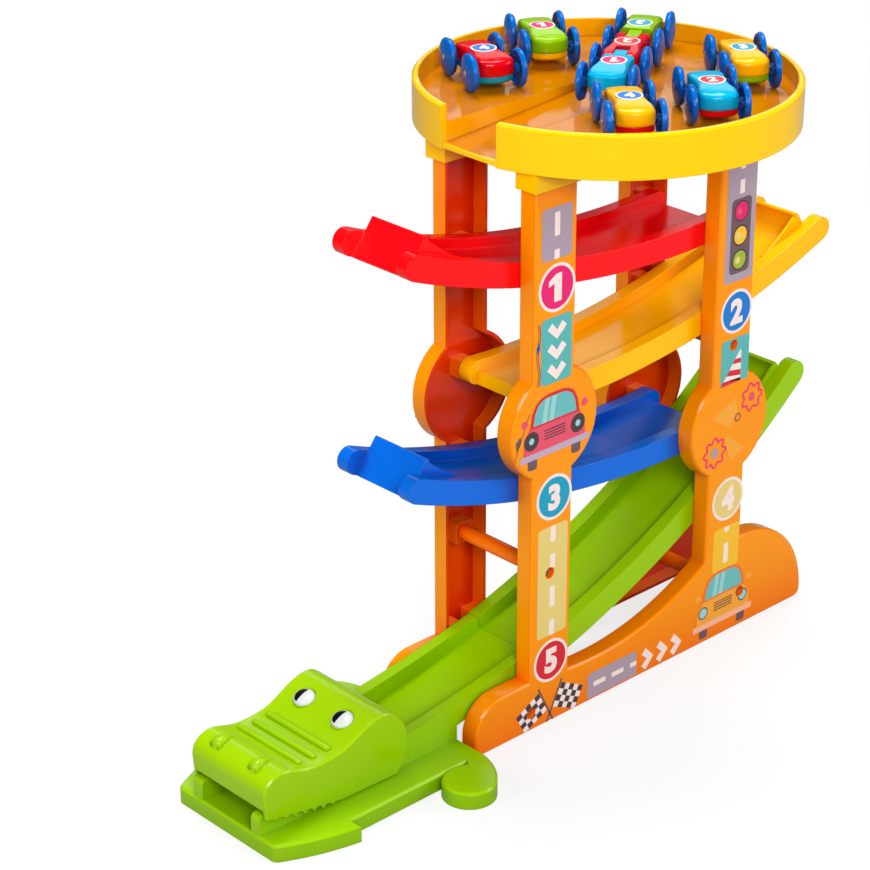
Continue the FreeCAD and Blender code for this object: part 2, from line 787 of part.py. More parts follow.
def head_outline(low_z):
    """Side view of the head, with the ends of its jaw line."""
    back = xz(*head_top[0])
    front = xz(*head_top[-1])
    heel = xz(back.x - heel_sink, low_z)
    chin = xz(front.x + chin_back, jaw_z)
    jaw_back = xz(head_pivot_x - jaw_back_reach, low_z)
    outline = [
        top_curve(0).toShape(),
        line(front, chin),
        line(chin, jaw_back),
        line(jaw_back, heel),
        arc(heel, xz(back.x + heel_bulge, (back.z + low_z) / 2), back),
    ]
    return outline, chin, jaw_back


def head_room(front, back):
    """The hollow inside the head, open below and behind."""
    low = -past
    high = back.z - head_wall
    far_x = back.x + head_half
    room = slab([
        top_curve(head_wall).toShape(),
        line(xz(front.x, front.z - head_wall), xz(front.x, low)),
        line(xz(front.x, low), xz(far_x, low)),
        line(xz(far_x, low), xz(far_x, high)),
        line(xz(far_x, high), xz(back.x, high)),
    ], -head_half, head_half)
    return room.common(box(front.x + head_wall, far_x, -head_half, head_half, low, far_off))


def teeth(chin, jaw_back):
    """The row of teeth under the jaw line, in the thickness of the head's walls."""
    run = jaw_back - chin
    step = run.Length / tooth_count
    along = run.normalize()
    row = []
    for index in range(1, tooth_count):
        root = chin + along * (index * step)
        reach = tooth_height * (tooth_first_share + tooth_growth * index)
        reach = min(reach, root.z - plate_height - tooth_gap)
        front = root + xz(-tooth_half_share * step, tooth_root)
        back = root + xz(tooth_half_share * step, tooth_root - tooth_first_share * lap)
        row.append(slab(polygon([front, back, root + xz(0, -reach)]), -head_half, head_half))
    return row


def snout_ridges():
    bars = []
    for index in range(ridge_count):
        x = ridge_rear_x - index * ridge_pitch
        top = top_z(x)
        bars.append(slab(polygon([
            xz(x - ridge_width / 2, top - ridge_sink), xz(x + ridge_width / 2, top - ridge_sink),
            xz(x + ridge_width / 4, top + ridge_rise), xz(x - ridge_width / 4, top + ridge_rise),
        ]), -ridge_half, ridge_half))
    return bars


def nostrils():
    height = nostril_sink + nostril_rise
    foot_z = top_z(nostril_x) - nostril_sink
    return [Part.makeCone(nostril_radius, nostril_top_radius, height, V(nostril_x, y, foot_z))
            for y in (-nostril_y, nostril_y)]


def crocodile_head():
    """The head: a hollow cover that lifts about two pins near its back."""
    outline, chin, jaw_back = head_outline(plate_height + head_lift_gap)
    front = xz(*head_top[-1])
    back = xz(*head_top[0])
    body = slab(outline, -head_half, head_half).common(head_plan(0))
    side_edges = [e for e in body.Edges if e.BoundBox.ZMax > jaw_z + head_wall
                  and min(abs(e.BoundBox.YMin), abs(e.BoundBox.YMax)) > head_front_half - lap]
    body = body.makeChamfer(head_edge_chamfer, side_edges)
    room = head_room(front, back).common(head_plan(head_wall))
    mouth_half = exit_rail_out + mouth_gap
    mouth = box(front.x - head_wall, front.x + head_wall + past, -mouth_half, mouth_half, -past,
                jaw_z + head_wall * 2)
    walls = head_plan(0).cut(head_plan(head_wall))
    pieces = [tooth.common(walls) for tooth in teeth(chin, jaw_back)]
    pieces += snout_ridges() + nostrils()
    hub_in = exit_rail_out + head_side_gap
    hub_out = head_half - head_wall + lap
    pieces += both_sides(rod_y(head_pin_radius + hub_wall, head_pivot_x, head_pivot_z, hub_in, hub_out))
    body = body.cut([room, mouth]).fuse(pieces)
    bore = rod_y(head_pin_radius + head_pin_fit, head_pivot_x, head_pivot_z, hub_in - past,
                 head_half - head_wall)
    return body.cut(both_sides(bore) + [eye_ball(side) for side in (-1, 1)]).removeSplitter()


def eye_place(side):
    """Centre of the ball that an eye is cut from, and the way it looks."""
    reach = eye_radius / 2
    slope = (top_z(eye_x - reach) - top_z(eye_x + reach)) / (2 * reach)
    normal = xz(slope, 1).normalize()
    surface = V(eye_x, side * eye_y, top_z(eye_x))
    sink = math.sqrt(eye_ball_radius ** 2 - eye_radius ** 2)
    return surface - normal * sink, normal


def eye_ball(side):
    """A flat-backed lens that sits in the head and stands a little above it."""
    centre, normal = eye_place(side)
    back = centre + normal * (math.sqrt(eye_ball_radius ** 2 - eye_radius ** 2) - eye_seat)
    return Part.makeSphere(eye_ball_radius, centre).common(
        Part.makeCylinder(eye_radius, eye_ball_radius, back, normal))


def eyes():
    return Part.Compound([eye_ball(side) for side in (-1, 1)])


def pupils():
    """The black half of each eye, a thin cap on the lens."""
    caps = []
    for side in (-1, 1):
        centre, normal = eye_place(side)
        shell = Part.makeSphere(eye_ball_radius + pupil_thickness, centre)
        shell = shell.cut(Part.makeSphere(eye_ball_radius, centre))
        post = Part.makeCylinder(eye_radius * pupil_share, 2 * eye_ball_radius, centre, normal)
        keep = box(eye_x - past, eye_x + 2 * eye_radius, -far_off, far_off, 0, far_off)
        caps.append(shell.common(post).common(keep))
    return Part.Compound(caps)


def wheel_pair(x):
    """Two domed wheels pressed on the ends of one axle, which turn together as one piece."""
    inside = wheel_track / 2 - wheel_width / 2
    rim = inside + wheel_width
    tip = rim + wheel_dome
    edges = [
        line(V(0, 0, 0), V(axle_radius, 0, 0)),
        line(V(axle_radius, 0, 0), V(axle_radius, inside, 0)),
        line(V(axle_radius, inside, 0), V(wheel_radius, inside, 0)),
        line(V(wheel_radius, inside, 0), V(wheel_radius, rim, 0)),
        line(V(wheel_radius, rim, 0), V(0, tip, 0)),
        line(V(0, tip, 0), V(0, 0, 0)),
    ]
    half = Part.Face(Part.Wire(edges)).revolve(V(0, 0, 0), V(0, 1, 0), 360)
    half.translate(V(x, 0, wheel_radius))
    return fused(both_sides(half))


def car_plan(front, rear, inset):
    """Hourglass plan of a car's shell, drawn in from its edge by an inset."""
    half = shell_half - inset
    waist = waist_half - inset
    nose = front + nose_reach - inset
    tail = rear - tail_reach + inset
    cheek = nose - cheek_length
    hip = tail + hip_length
    fore = front - flank_run
    aft = rear + flank_run
    aft_half = half - tail_step
    hip_half = aft_half - tail_step
    middle = (front + rear) / 2
    edges = [
        arc(V(cheek, -half, 0), V(nose, 0, 0), V(cheek, half, 0)),
        line(V(cheek, half, 0), V(fore, half, 0)),
        arc(V(fore, half, 0), V(middle, waist, 0), V(aft, aft_half, 0)),
        line(V(aft, aft_half, 0), V(hip, hip_half, 0)),
        arc(V(hip, hip_half, 0), V(tail, 0, 0), V(hip, -hip_half, 0)),
        line(V(hip, -hip_half, 0), V(aft, -aft_half, 0)),
        arc(V(aft, -aft_half, 0), V(middle, -waist, 0), V(fore, -half, 0)),
        line(V(fore, -half, 0), V(cheek, -half, 0)),
    ]
    return Part.Face(Part.Wire(edges))


def prism(face, z0, z1):
    face.translate(V(0, 0, z0))
    return face.extrude(V(0, 0, z1 - z0))


def crowned(front, rear):
    """Side view of the shell with its arched top, as a block wider than the car."""
    nose = front + nose_reach + 2 * past
    tail = rear - tail_reach - 2 * past
    top = shell_top_z
    end = shell_end_z
    middle = (front + rear) / 2
    return slab([
        arc(xz(nose, end), xz(middle, top), xz(tail, end)),
        line(xz(tail, end), xz(tail, 0)),
        line(xz(tail, 0), xz(nose, 0)),
        line(xz(nose, 0), xz(nose, end)),
    ], -far_off, far_off)


def axle_slots(axle_xs):
    """Slots that let the axles into a shell from below, to the fit of a bearing."""
    half = axle_radius + axle_fit
    return [box(x - half, x + half, -shell_half, shell_half, 0, wheel_radius + half) for x in axle_xs]


def saddles(axle_xs):
    """Blocks on the chassis that fill the slots up to the axles."""
    half = axle_radius - axle_fit
    top = wheel_radius - axle_radius - axle_fit
    wide = waist_half - chassis_inset
    return [box(x - half, x + half, -wide, wide, shell_z - past, top) for x in axle_xs]


def car_shell(front, rear, axle_xs):
    """The upper half of a car: an hourglass plan under an arched roof, closed below."""
    body = prism(car_plan(front, rear, 0), shell_z, shell_top_z + past).common(crowned(front, rear))
    top = [e for e in body.Edges if e.BoundBox.ZMin > shell_z + past]
    body = body.makeChamfer(shell_chamfer, top)
    return body.cut(axle_slots(axle_xs)).removeSplitter()


def car_chassis(front, rear, axle_xs):
    """The lower half of a car, with a saddle under each axle."""
    base = prism(car_plan(front, rear, chassis_inset), chassis_z, shell_z)
    low = [e for e in base.Edges if e.BoundBox.ZMax < chassis_z + hair]
    base = base.makeChamfer(chassis_chamfer, low)
    return base.fuse(saddles(axle_xs)).removeSplitter()


def car_parts(front, rear):
    """Every piece of a single car, in its own frame with its nose at +X."""
    axle_xs = (front, rear)
    return {
        "shell": car_shell(front, rear, axle_xs),
        "chassis": car_chassis(front, rear, axle_xs),
        "front_wheels": wheel_pair(front),
        "rear_wheels": wheel_pair(rear),
    }


def beyond(x, toward, half, z1=far_off):
    """Everything on one side of x, over a width and below a height."""
    end = x + toward * far_off
    return box(min(x, end), max(x, end), -half, half, -far_off, z1)


def joint_room(joint_x, toward):
    """The room a tongue-ended section leaves free for the fork that turns on its joint."""
    return beyond(joint_x - toward * (joint_radius + joint_gap), toward, far_off)


def fork_room(joint_x, toward):
    """The room a fork leaves free for the tongue between its arms."""
    return beyond(joint_x - toward * (joint_radius + joint_gap), toward, tongue_half + fork_gap)


def tongue(joint_x, toward):
    """A bar out from the end of a section, round about the axle it turns on."""
    root_x = joint_x - toward * (joint_radius + joint_gap + joint_wall)
    low_z = wheel_radius - tongue_drop
    high_z = wheel_radius + tongue_rise
    bar = box(min(joint_x, root_x), max(joint_x, root_x), -tongue_half, tongue_half, low_z, high_z)
    tip = rod_y(joint_radius, joint_x, wheel_radius, -tongue_half, tongue_half).common(
        box(joint_x - joint_radius, joint_x + joint_radius, -tongue_half, tongue_half, low_z, high_z))
    under = beyond(joint_x - toward * joint_radius, -toward, far_off, shell_z)
    bore = rod_y(axle_radius + axle_fit, joint_x, wheel_radius, -far_off, far_off)
    return bar.fuse(tip).cut([under, bore])


def train_end(front, rear, axle_x, joint_x):
    """The leading or trailing section: one axle of its own and a tongue on its neighbour's."""
    toward = 1 if joint_x > axle_x else -1
    room = joint_room(joint_x, toward)
    shell = car_shell(front, rear, (axle_x,)).cut(room)
    chassis = car_chassis(front, rear, (axle_x,)).cut(room)
    return fused([shell, tongue(joint_x, toward)]), chassis


def tip_room(axle_x, toward):
    """What lies past an axle and outside the circle that a fork's arms turn in."""
    turning = rod_y(joint_radius, axle_x, wheel_radius, -far_off, far_off)
    return beyond(axle_x, toward, far_off).cut(turning)


def train_middle(front, rear):
    """The middle section: a fork at each end, carrying both shared axles."""
    axle_xs = (front, rear)
    rooms = [fork_room(front, 1), fork_room(rear, -1), tip_room(front, 1), tip_room(rear, -1)]
    return car_shell(front, rear, axle_xs).cut(rooms), car_chassis(front, rear, axle_xs).cut(rooms)


def placed(shape, spot):
    """A piece of a car, drawn about its own middle, on its spot on the deck."""
    direction, inset, heading = spot
    turn = math.radians(direction)
    reach = deck_radius - deck_wall - inset * wheelbase
    moved = shape.copy()
    moved.rotate(V(0, 0, 0), V(0, 0, 1), heading)
    moved.translate(V(deck_x + reach * math.cos(turn), reach * math.sin(turn), deck_floor_z + car_ride))
    return moved


def main():
    parts = {}
    frame = side_frame()
    parts["side_frame_far"] = frame
    parts["side_frame_near"] = frame.mirror(V(0, 0, 0), V(0, 1, 0))
    for name, (x, z) in crossbar_places.items():
        parts["crossbar_" + name] = crossbar(x, z)
    parts["deck"] = deck()

    flip = ramp(flip_low_x, flip_low_z, flip_radius, flip_depth, flip_floor_drop, flip_high_reach,
                flip_low_reach, flip_wall_inset, flip_wall_length, (-half_span, half_span), True)
    for level, name in enumerate(("first_ramp", "second_ramp", "third_ramp")):
        piece = flip.copy()
        if level == 1:
            piece.rotate(V(0, 0, 0), V(0, 0, 1), 180)
        piece.translate(V(mid_x, 0, -level * ramp_pitch))
        parts[name] = piece
    last = ramp(last_low_x, last_low_z, last_radius, last_depth, last_floor_drop, last_high_reach,
                mid_x - seam_x, last_wall_inset, last_wall_length,
                [mid_x - x for x in last_tenon_xs], False)
    last.rotate(V(0, 0, 0), V(0, 0, 1), 180)
    last.translate(V(mid_x, 0, 0))
    parts["fourth_ramp"] = last

    parts["crocodile_base"] = crocodile_base()
    parts["crocodile_head"] = crocodile_head()
    parts["crocodile_eyes"] = eyes()
    parts["crocodile_pupils"] = pupils()

    single = car_parts(wheelbase / 2, -wheelbase / 2)
    for car, spot in car_spots.items():
        for piece, shape in single.items():
            parts[car + "_" + piece] = placed(shape, spot)

    half = train_spacing / 2
    axle_shift = [1.5 * train_spacing, half, -half, -1.5 * train_spacing]
    shells = {
        "train_lead": train_end(axle_shift[0], axle_shift[1], axle_shift[0], axle_shift[1]),
        "train_middle": train_middle(axle_shift[1], axle_shift[2]),
        "train_tail": train_end(axle_shift[2], axle_shift[3], axle_shift[3], axle_shift[2]),
    }
    for name, (shell, chassis) in shells.items():
        parts[name + "_shell"] = placed(shell, train_spot)
        parts[name + "_chassis"] = placed(chassis, train_spot)
    for number, x in enumerate(axle_shift, 1):
        parts["train_wheels_%d" % number] = placed(wheel_pair(x), train_spot)

    os.makedirs("parts", exist_ok=True)
    for name, shape in parts.items():
        shape.exportStep("parts/%s.step" % name)
        solids = len(shape.Solids)
        if not shape.isValid():
            print("not valid:", name)
        print(name, "solids", solids, "volume", round(shape.Volume, 1))
    print(len(parts), "parts")


main()
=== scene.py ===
import json
import math
import bmesh
import bpy
from mathutils import Matrix, Vector
from mathutils.geometry import delaunay_2d_cdt


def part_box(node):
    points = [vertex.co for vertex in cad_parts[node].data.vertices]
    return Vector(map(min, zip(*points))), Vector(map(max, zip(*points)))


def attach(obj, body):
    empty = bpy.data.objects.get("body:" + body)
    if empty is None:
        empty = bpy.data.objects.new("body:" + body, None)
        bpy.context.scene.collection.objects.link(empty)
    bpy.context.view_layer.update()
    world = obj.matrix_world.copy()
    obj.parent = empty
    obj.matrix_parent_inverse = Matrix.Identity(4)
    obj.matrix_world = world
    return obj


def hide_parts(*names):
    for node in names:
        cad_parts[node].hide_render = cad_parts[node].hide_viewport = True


# Toy race track. Its sizes are in millimetres, and MM turns them into the scene's metres. The
# studio's sizes are in metres.
MM = 0.001

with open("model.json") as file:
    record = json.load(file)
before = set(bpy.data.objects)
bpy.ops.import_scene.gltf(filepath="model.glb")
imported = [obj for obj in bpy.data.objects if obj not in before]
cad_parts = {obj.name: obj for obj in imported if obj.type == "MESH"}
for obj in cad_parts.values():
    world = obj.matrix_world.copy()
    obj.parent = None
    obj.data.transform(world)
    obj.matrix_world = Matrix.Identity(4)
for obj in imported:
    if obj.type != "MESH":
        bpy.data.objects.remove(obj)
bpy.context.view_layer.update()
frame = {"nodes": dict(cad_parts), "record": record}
nodes = frame["nodes"]


# Node trees
def linear(hex_colour):
    """An sRGB hex colour as the linear RGBA that shader sockets take."""
    channels = [int(hex_colour[i:i + 2], 16) / 255 for i in (0, 2, 4)]
    return tuple(c / 12.92 if c <= 0.04045 else ((c + 0.055) / 1.055) ** 2.4 for c in channels) + (1.0,)


def add(tree, kind, inputs=None, **settings):
    """Adds a node with its settings. Each input is a value, or a socket to link from."""
    made = tree.nodes.new(kind)
    for key, value in settings.items():
        setattr(made, key, value)
    for key, value in (inputs or {}).items():
        if isinstance(value, bpy.types.NodeSocket):
            tree.links.new(value, made.inputs[key])
        else:
            made.inputs[key].default_value = value
    return made


def blank_material(name):
    """A material and its empty node tree."""
    material = bpy.data.materials.new(name)
    material.use_nodes = True
    material.node_tree.nodes.clear()
    return material, material.node_tree


def noise(tree, place, scale, detail=1.0):
    """Noise whose features are one metre over the scale across."""
    return add(tree, "ShaderNodeTexNoise", {"Vector": place, "Scale": scale, "Detail": detail}).outputs[0]


def ranged(tree, value, low, high, start=0.0, end=1.0):
    """A value's run from low to high, turned into one from start to end."""
    return add(tree, "ShaderNodeMapRange", {0: value, 1: low, 2: high, 3: start, 4: end}).outputs[0]


def maths(tree, operation, *values, **settings):
    """One step of arithmetic."""
    return add(tree, "ShaderNodeMath", dict(enumerate(values)), operation=operation, **settings).outputs[0]


def coordinate(tree, vector, axis):
    """One coordinate of a vector: x, y and z are 0, 1 and 2."""
    return add(tree, "ShaderNodeSeparateXYZ", {0: vector}).outputs[axis]


def mixed(tree, share, first, second):
    """Two colours, mixed by share."""
    return add(tree, "ShaderNodeMix", {0: share, 6: first, 7: second}, data_type="RGBA").outputs[2]


def facing(tree):
    """The direction that a face looks in."""
    return add(tree, "ShaderNodeNewGeometry").outputs["Normal"]


def moulded(name, colour, painted_shade_colour, roughness=0.14, edge=0.7, shade_paint=None):
    """Glossy injection-moulded ABS. The eye gets one strong colour with painted shade: it runs deeper
    where faces close each other in within 45 mm, in place of the light that they throw on each other. It
    has a slow warp of 20 mm in its reflections, the faint orange peel of a polished mould at 1.5 mm, and
    soft broken edges."""
    material, tree = blank_material(name)
    place = add(tree, "ShaderNodeTexCoord").outputs["Object"]
    vary = maths(tree, "MULTIPLY", noise(tree, place, 25.0, 2.0), 0.12)
    around = add(tree, "ShaderNodeAmbientOcclusion", {"Distance": 45 * MM}, samples=6)
    # Painted shade: the share of the painted shade colour grows where ambient occlusion within 45 mm is
    # strong.
    painted_shade_share = ranged(tree, around.outputs["AO"], 0.95, 0.35, 0.0, 0.85)
    tone = mixed(tree, maths(tree, "ADD", painted_shade_share, vary, use_clamp=True), linear(colour), linear(painted_shade_colour))
    # The painted shade of the side frames or of the deck's tray goes on here.
    if shade_paint:
        tone = shade_paint(tree, place, tone, painted_shade_share)
    sheen = ranged(tree, noise(tree, place, 160.0, 3.0), 0.35, 0.75, roughness, roughness + 0.07)
    rounded = add(tree, "ShaderNodeBevel", {"Radius": edge * MM}, samples=6)
    warp = add(tree, "ShaderNodeBump", {"Strength": 0.4, "Distance": 0.4 * MM,
                                        "Height": noise(tree, place, 50.0), "Normal": rounded.outputs[0]})
    peel = add(tree, "ShaderNodeBump", {"Strength": 0.25, "Distance": 0.012 * MM,
                                        "Height": noise(tree, place, 650.0), "Normal": warp.outputs[0]})
    shader = add(tree, "ShaderNodeBsdfPrincipled", {
        "Base Color": tone, "Roughness": sheen, "IOR": 1.5, "Specular IOR Level": 0.24,
        "Normal": peel.outputs[0]})
    add(tree, "ShaderNodeOutputMaterial", {"Surface": shader.outputs[0]})
    return material


def frame_painted_shade(tree, place, tone, painted_shade_share):
    """Painted shade: red-orange, deeper red where ambient occlusion is strong, on the faces that the two
    side frames turn to each other.
    """
    level = ranged(tree, maths(tree, "ABSOLUTE", coordinate(tree, facing(tree), 1)), 0.5, 0.9)
    depth = maths(tree, "ABSOLUTE", coordinate(tree, place, 1))
    behind = maths(tree, "LESS_THAN", depth, (frame_face - 0.8) * MM)
    # Painted shade: red-orange that runs to dark red where ambient occlusion is strong.
    glow_and_painted_shade = mixed(tree, painted_shade_share, linear("f04400"), linear("c01400"))
    return mixed(tree, maths(tree, "MULTIPLY", level, behind), tone, glow_and_painted_shade)


def tray_painted_shade(tree, place, tone, _):
    """Painted shade: amber inside the deck's rim, for the light that yellow walls throw on a yellow floor.
    """
    flat = add(tree, "ShaderNodeVectorMath", {0: place, 1: (1, 1, 0)}, operation="MULTIPLY").outputs[0]
    reach = add(tree, "ShaderNodeVectorMath", {0: flat, 1: (deck_x * MM, 0, 0)}, operation="DISTANCE")
    within = ranged(tree, reach.outputs["Value"], (rim_inner + 0.3) * MM, (rim_inner + 0.9) * MM, 1.0, 0.0)
    height = coordinate(tree, place, 2)
    above = ranged(tree, height, (deck_floor - 3.0) * MM, (deck_floor - 2.5) * MM)
    across = maths(tree, "ABSOLUTE", coordinate(tree, place, 1))
    between = ranged(tree, across, lane_half * MM, (lane_half + 0.3) * MM, 1.0, 0.0)
    sloped = maths(tree, "GREATER_THAN", height, (deck_floor - lane_drop) * MM)
    lane = maths(tree, "MULTIPLY", between, sloped)
    inner = maths(tree, "MULTIPLY", within, maths(tree, "MAXIMUM", above, lane))
    # Painted shade: faces that look up get a darker amber than the walls.
    amber = mixed(tree, coordinate(tree, facing(tree), 2), linear("f0a400"), linear("cc7a00"))
    return mixed(tree, inner, tone, amber)


def printed(name, colour, paler):
    """Printed PVC film. The eye gets a flat ink broken up by a fine grain of 0.4 mm, drawn
    coarser than real print dots so that it shows, under a satin top coat with slow waves of 11 mm."""
    material, tree = blank_material(name)
    place = add(tree, "ShaderNodeTexCoord").outputs["Object"]
    grain = ranged(tree, noise(tree, place, 2500.0), 0.3, 0.7, 0.0, 0.5)
    tone = mixed(tree, grain, linear(colour), linear(paler))
    wave = add(tree, "ShaderNodeBump", {"Strength": 0.2, "Distance": 0.03 * MM,
                                        "Height": noise(tree, place, 90.0)})
    shader = add(tree, "ShaderNodeBsdfPrincipled", {
        "Base Color": tone, "Roughness": 0.34, "IOR": 1.5, "Specular IOR Level": 0.3,
        "Normal": wave.outputs[0]})
    add(tree, "ShaderNodeOutputMaterial", {"Surface": shader.outputs[0]})
    return material


def turned_steel(name):
    """Zinc-plated steel. The eye gets a bright grey with fine turning marks 0.15 mm apart."""
    material, tree = blank_material(name)
    marks = noise(tree, add(tree, "ShaderNodeTexCoord").outputs["Object"], 6500.0, 2.0)
    bump = add(tree, "ShaderNodeBump", {"Strength": 0.2, "Distance": 0.01 * MM, "Height": marks})
    shader = add(tree, "ShaderNodeBsdfPrincipled", {
        "Base Color": linear("c4c6ca"), "Metallic": 1.0,
        "Roughness": ranged(tree, marks, 0.0, 1.0, 0.22, 0.42), "Normal": bump.outputs[0]})
    add(tree, "ShaderNodeOutputMaterial", {"Surface": shader.outputs[0]})
    return material


# Sizes shared with the CAD: the deck's centre, its floor, the inside of its rim, its lane and the
# lane's drop, and how far the outer faces of the side frames lie from the middle.
deck_x = 52.0
deck_floor = 309.0
rim_inner = 90.5
lane_half = 18.2
lane_drop = 13.0
frame_face = 35.0

# Each plastic: its own colour, then the painted shade colour that its crevices turn to.
plastics = {
    "orange_plastic": moulded("abs_orange", "ff9a00", "f66000", shade_paint=frame_painted_shade),
    "crossbar_plastic": moulded("abs_orange_bars", "ff7c00", "f04000"),
    "deck_plastic": moulded("abs_deck_yellow", "ffcc00", "fcb000", roughness=0.06, shade_paint=tray_painted_shade),
    "red_plastic": moulded("abs_red", "ff0410", "e8000c"),
    "yellow_plastic": moulded("abs_yellow", "ffc400", "f49a00"),
    "blue_plastic": moulded("abs_blue", "006ce0", "0038a8"),
    "green_plastic": moulded("abs_leaf_green", "9cce00", "7eb000"),
    "head_plastic": moulded("abs_bright_green", "9ecc00", "7cae00"),
    "eye_white": moulded("abs_white", "d8dcda", "bcc0be", edge=0.3),
    "pupil_black": moulded("enamel_black", "101012", "0a0a0c", edge=0.1),
    "car_red": moulded("abs_car_red", "e00010", "b8000c", roughness=0.08),
    "car_teal": moulded("abs_car_teal", "0096aa", "007c8e", roughness=0.08),
    "car_green": moulded("abs_car_green", "94c600", "72a000", roughness=0.08),
    "car_yellow": moulded("abs_car_yellow", "fabc00", "e69c00", roughness=0.08),
    "car_cyan": moulded("abs_car_cyan", "00b4e0", "0092c2", roughness=0.08),
    "wheel_blue": moulded("abs_wheel_blue", "006ccc", "00449a", roughness=0.1),
}
steel = turned_steel("steel_zinc_plated")
inks = {
    "white": printed("film_white", "f8e2da", "fceee8"),
    "road": printed("film_road_grey", "ac98a8", "b4a3b2"),
    "sand": printed("film_sand", "e6cc74", "ead688"),
    "gold": printed("film_gold", "f8be20", "faca40"),
    "teal": printed("film_teal", "52b2b0", "68bebc"),
    "pink": printed("film_pink", "e80e6a", "ec2e7e"),
    "red": printed("film_red", "d81c2c", "de3844"),
    "blue": printed("film_blue", "0474d0", "2484d6"),
    "cyan": printed("film_cyan", "049cbe", "28a8c6"),
    "brown": printed("film_brown", "6a5058", "786068"),
    "dark": printed("film_dark", "44363c", "52464c"),
    "lime": printed("film_lime", "9cb42e", "a8be48"),
    "glass": printed("film_glass", "64b8ba", "7ac4c4"),
    "shine": printed("film_pale_teal", "96d0ce", "a6d8d4"),
    "rose": printed("film_rose", "e64c64", "ea6074"),
    "lavender": printed("film_lavender", "bca6c0", "c6b2c8"),
    "blush": printed("film_blush", "fab490", "fcc0a0"),
    "amber": printed("film_amber", "f8a42c", "faae44"),
    "orange": printed("film_orange", "f07020", "f28034"),
}


# CAD nodes: plastics, and shading that is smooth except at real edges
def smoothing_group(sharp_degrees):
    """A node tree that welds a mesh and shades it smooth, with its sharp edges kept."""
    tree = bpy.data.node_groups.new("smooth_by_angle", "GeometryNodeTree")
    tree.interface.new_socket("Geometry", in_out="INPUT", socket_type="NodeSocketGeometry")
    tree.interface.new_socket("Geometry", in_out="OUTPUT", socket_type="NodeSocketGeometry")
    source = add(tree, "NodeGroupInput")
    welded = add(tree, "GeometryNodeMergeByDistance", {"Geometry": source.outputs[0], "Distance": 1e-6})
    smooth = add(tree, "GeometryNodeSetShadeSmooth", {"Geometry": welded.outputs[0], "Shade Smooth": True},
                 domain="FACE")
    angle = add(tree, "GeometryNodeInputMeshEdgeAngle")
    sharp = add(tree, "FunctionNodeCompare", {0: angle.outputs[0], 1: math.radians(sharp_degrees)},
                data_type="FLOAT", operation="GREATER_THAN")
    edged = add(tree, "GeometryNodeSetShadeSmooth",
                {"Geometry": smooth.outputs[0], "Selection": sharp.outputs[0], "Shade Smooth": False},
                domain="EDGE")
    add(tree, "NodeGroupOutput", {0: edged.outputs[0]})
    return tree


def dress_cad_nodes():
    """Gives each CAD node the plastic of its slot, and smooth shading."""
    group = smoothing_group(24.0)
    for part in frame["record"]["subparts"]:
        node = nodes[part["node"]]
        finish = plastics[part["material_slot"]]
        node.data.materials.clear()
        node.data.materials.append(finish)
        node.modifiers.new("smooth", "NODES").node_group = group


# Meshes
def finished(name, bm, materials, smooth=True):
    """An object at the origin from a bmesh, in metres, with its faces turned outwards."""
    bmesh.ops.recalc_face_normals(bm, faces=bm.faces)
    mesh = bpy.data.meshes.new(name)
    bm.to_mesh(mesh)
    bm.free()
    for material in materials:
        mesh.materials.append(material)
    for face in mesh.polygons:
        face.use_smooth = smooth
    made = bpy.data.objects.new(name, mesh)
    bpy.context.scene.collection.objects.link(made)
    return made


def join_rings(bm, a, b, material_index=0):
    """A band of faces between two closed rings of as many points."""
    for i in range(len(a)):
        j = (i + 1) % len(a)
        bm.faces.new([a[i], a[j], b[j], b[i]]).material_index = material_index


def close_ring(bm, ring, apex, material_index=0):
    """A fan of faces from a closed ring to one point."""
    for i in range(len(ring)):
        bm.faces.new([ring[i], ring[(i + 1) % len(ring)], apex]).material_index = material_index


def lathe(bm, profile, segments, matrix, material_index=0):
    """Turns (radius, y) points about the Y axis. A radius of zero closes the shape at a pole."""
    rings = []
    for radius, y in profile:
        if radius < 1e-6:
            rings.append([bm.verts.new(matrix @ Vector((0, y * MM, 0)))])
            continue
        around = circle(0, 0, radius * MM, segments)
        rings.append([bm.verts.new(matrix @ Vector((x, y * MM, z))) for x, z in around])
    for a, b in zip(rings, rings[1:]):
        if len(a) == 1:
            close_ring(bm, b, a[0], material_index)
        elif len(b) == 1:
            close_ring(bm, a, b[0], material_index)
        else:
            join_rings(bm, a, b, material_index)


def circle(cx, cy, radius, count=48):
    """Points round a circle."""
    turns = [2 * math.pi * i / count for i in range(count)]
    return [(cx + radius * math.cos(turn), cy + radius * math.sin(turn)) for turn in turns]


def arc_points(cx, cy, radius, start, end, steps):
    """Points along an arc, with its angles in degrees."""
    turns = [math.radians(start + (end - start) * step / steps) for step in range(steps + 1)]
    return [(cx + radius * math.cos(turn), cy + radius * math.sin(turn)) for turn in turns]


# Cars: where each stands on the deck, and the wheels. A spot is the direction of a car's middle
# from the deck's centre, its distance in from the rim as a count of wheelbases, and its heading.
ride = 0.15
wheel_radius = 9.5
track_half = 12.6
wheel_half = 1.6
wheel_tip = track_half + wheel_half + 1.0
axle_radius = 1.0
wheelbase = 28.5
train_pitch = 31.0
single_cars = {
    "red_car": ((124.6, 1.036, -112.0), "car_red"),
    "green_car": ((77.1, 1.084, -121.0), "car_green"),
    "blue_car": ((-82.7, 1.088, -126.0), "car_cyan"),
    "yellow_car": ((-127.6, 1.012, -126.0), "car_yellow"),
    "amber_car": ((-31.0, 0.823, -125.0), "car_yellow"),
}
train_spot = (23.5, 2.24, -148.0)


def car_matrix(spot):
    """Puts a car that stands at the origin, nose along +X, on its spot."""
    direction, inset, heading = spot
    turn = math.radians(direction)
    reach = rim_inner - inset * wheelbase
    place = Vector((deck_x + reach * math.cos(turn), reach * math.sin(turn), deck_floor + ride))
    return Matrix.Translation(place * MM) @ Matrix.Rotation(math.radians(heading), 4, "Z")


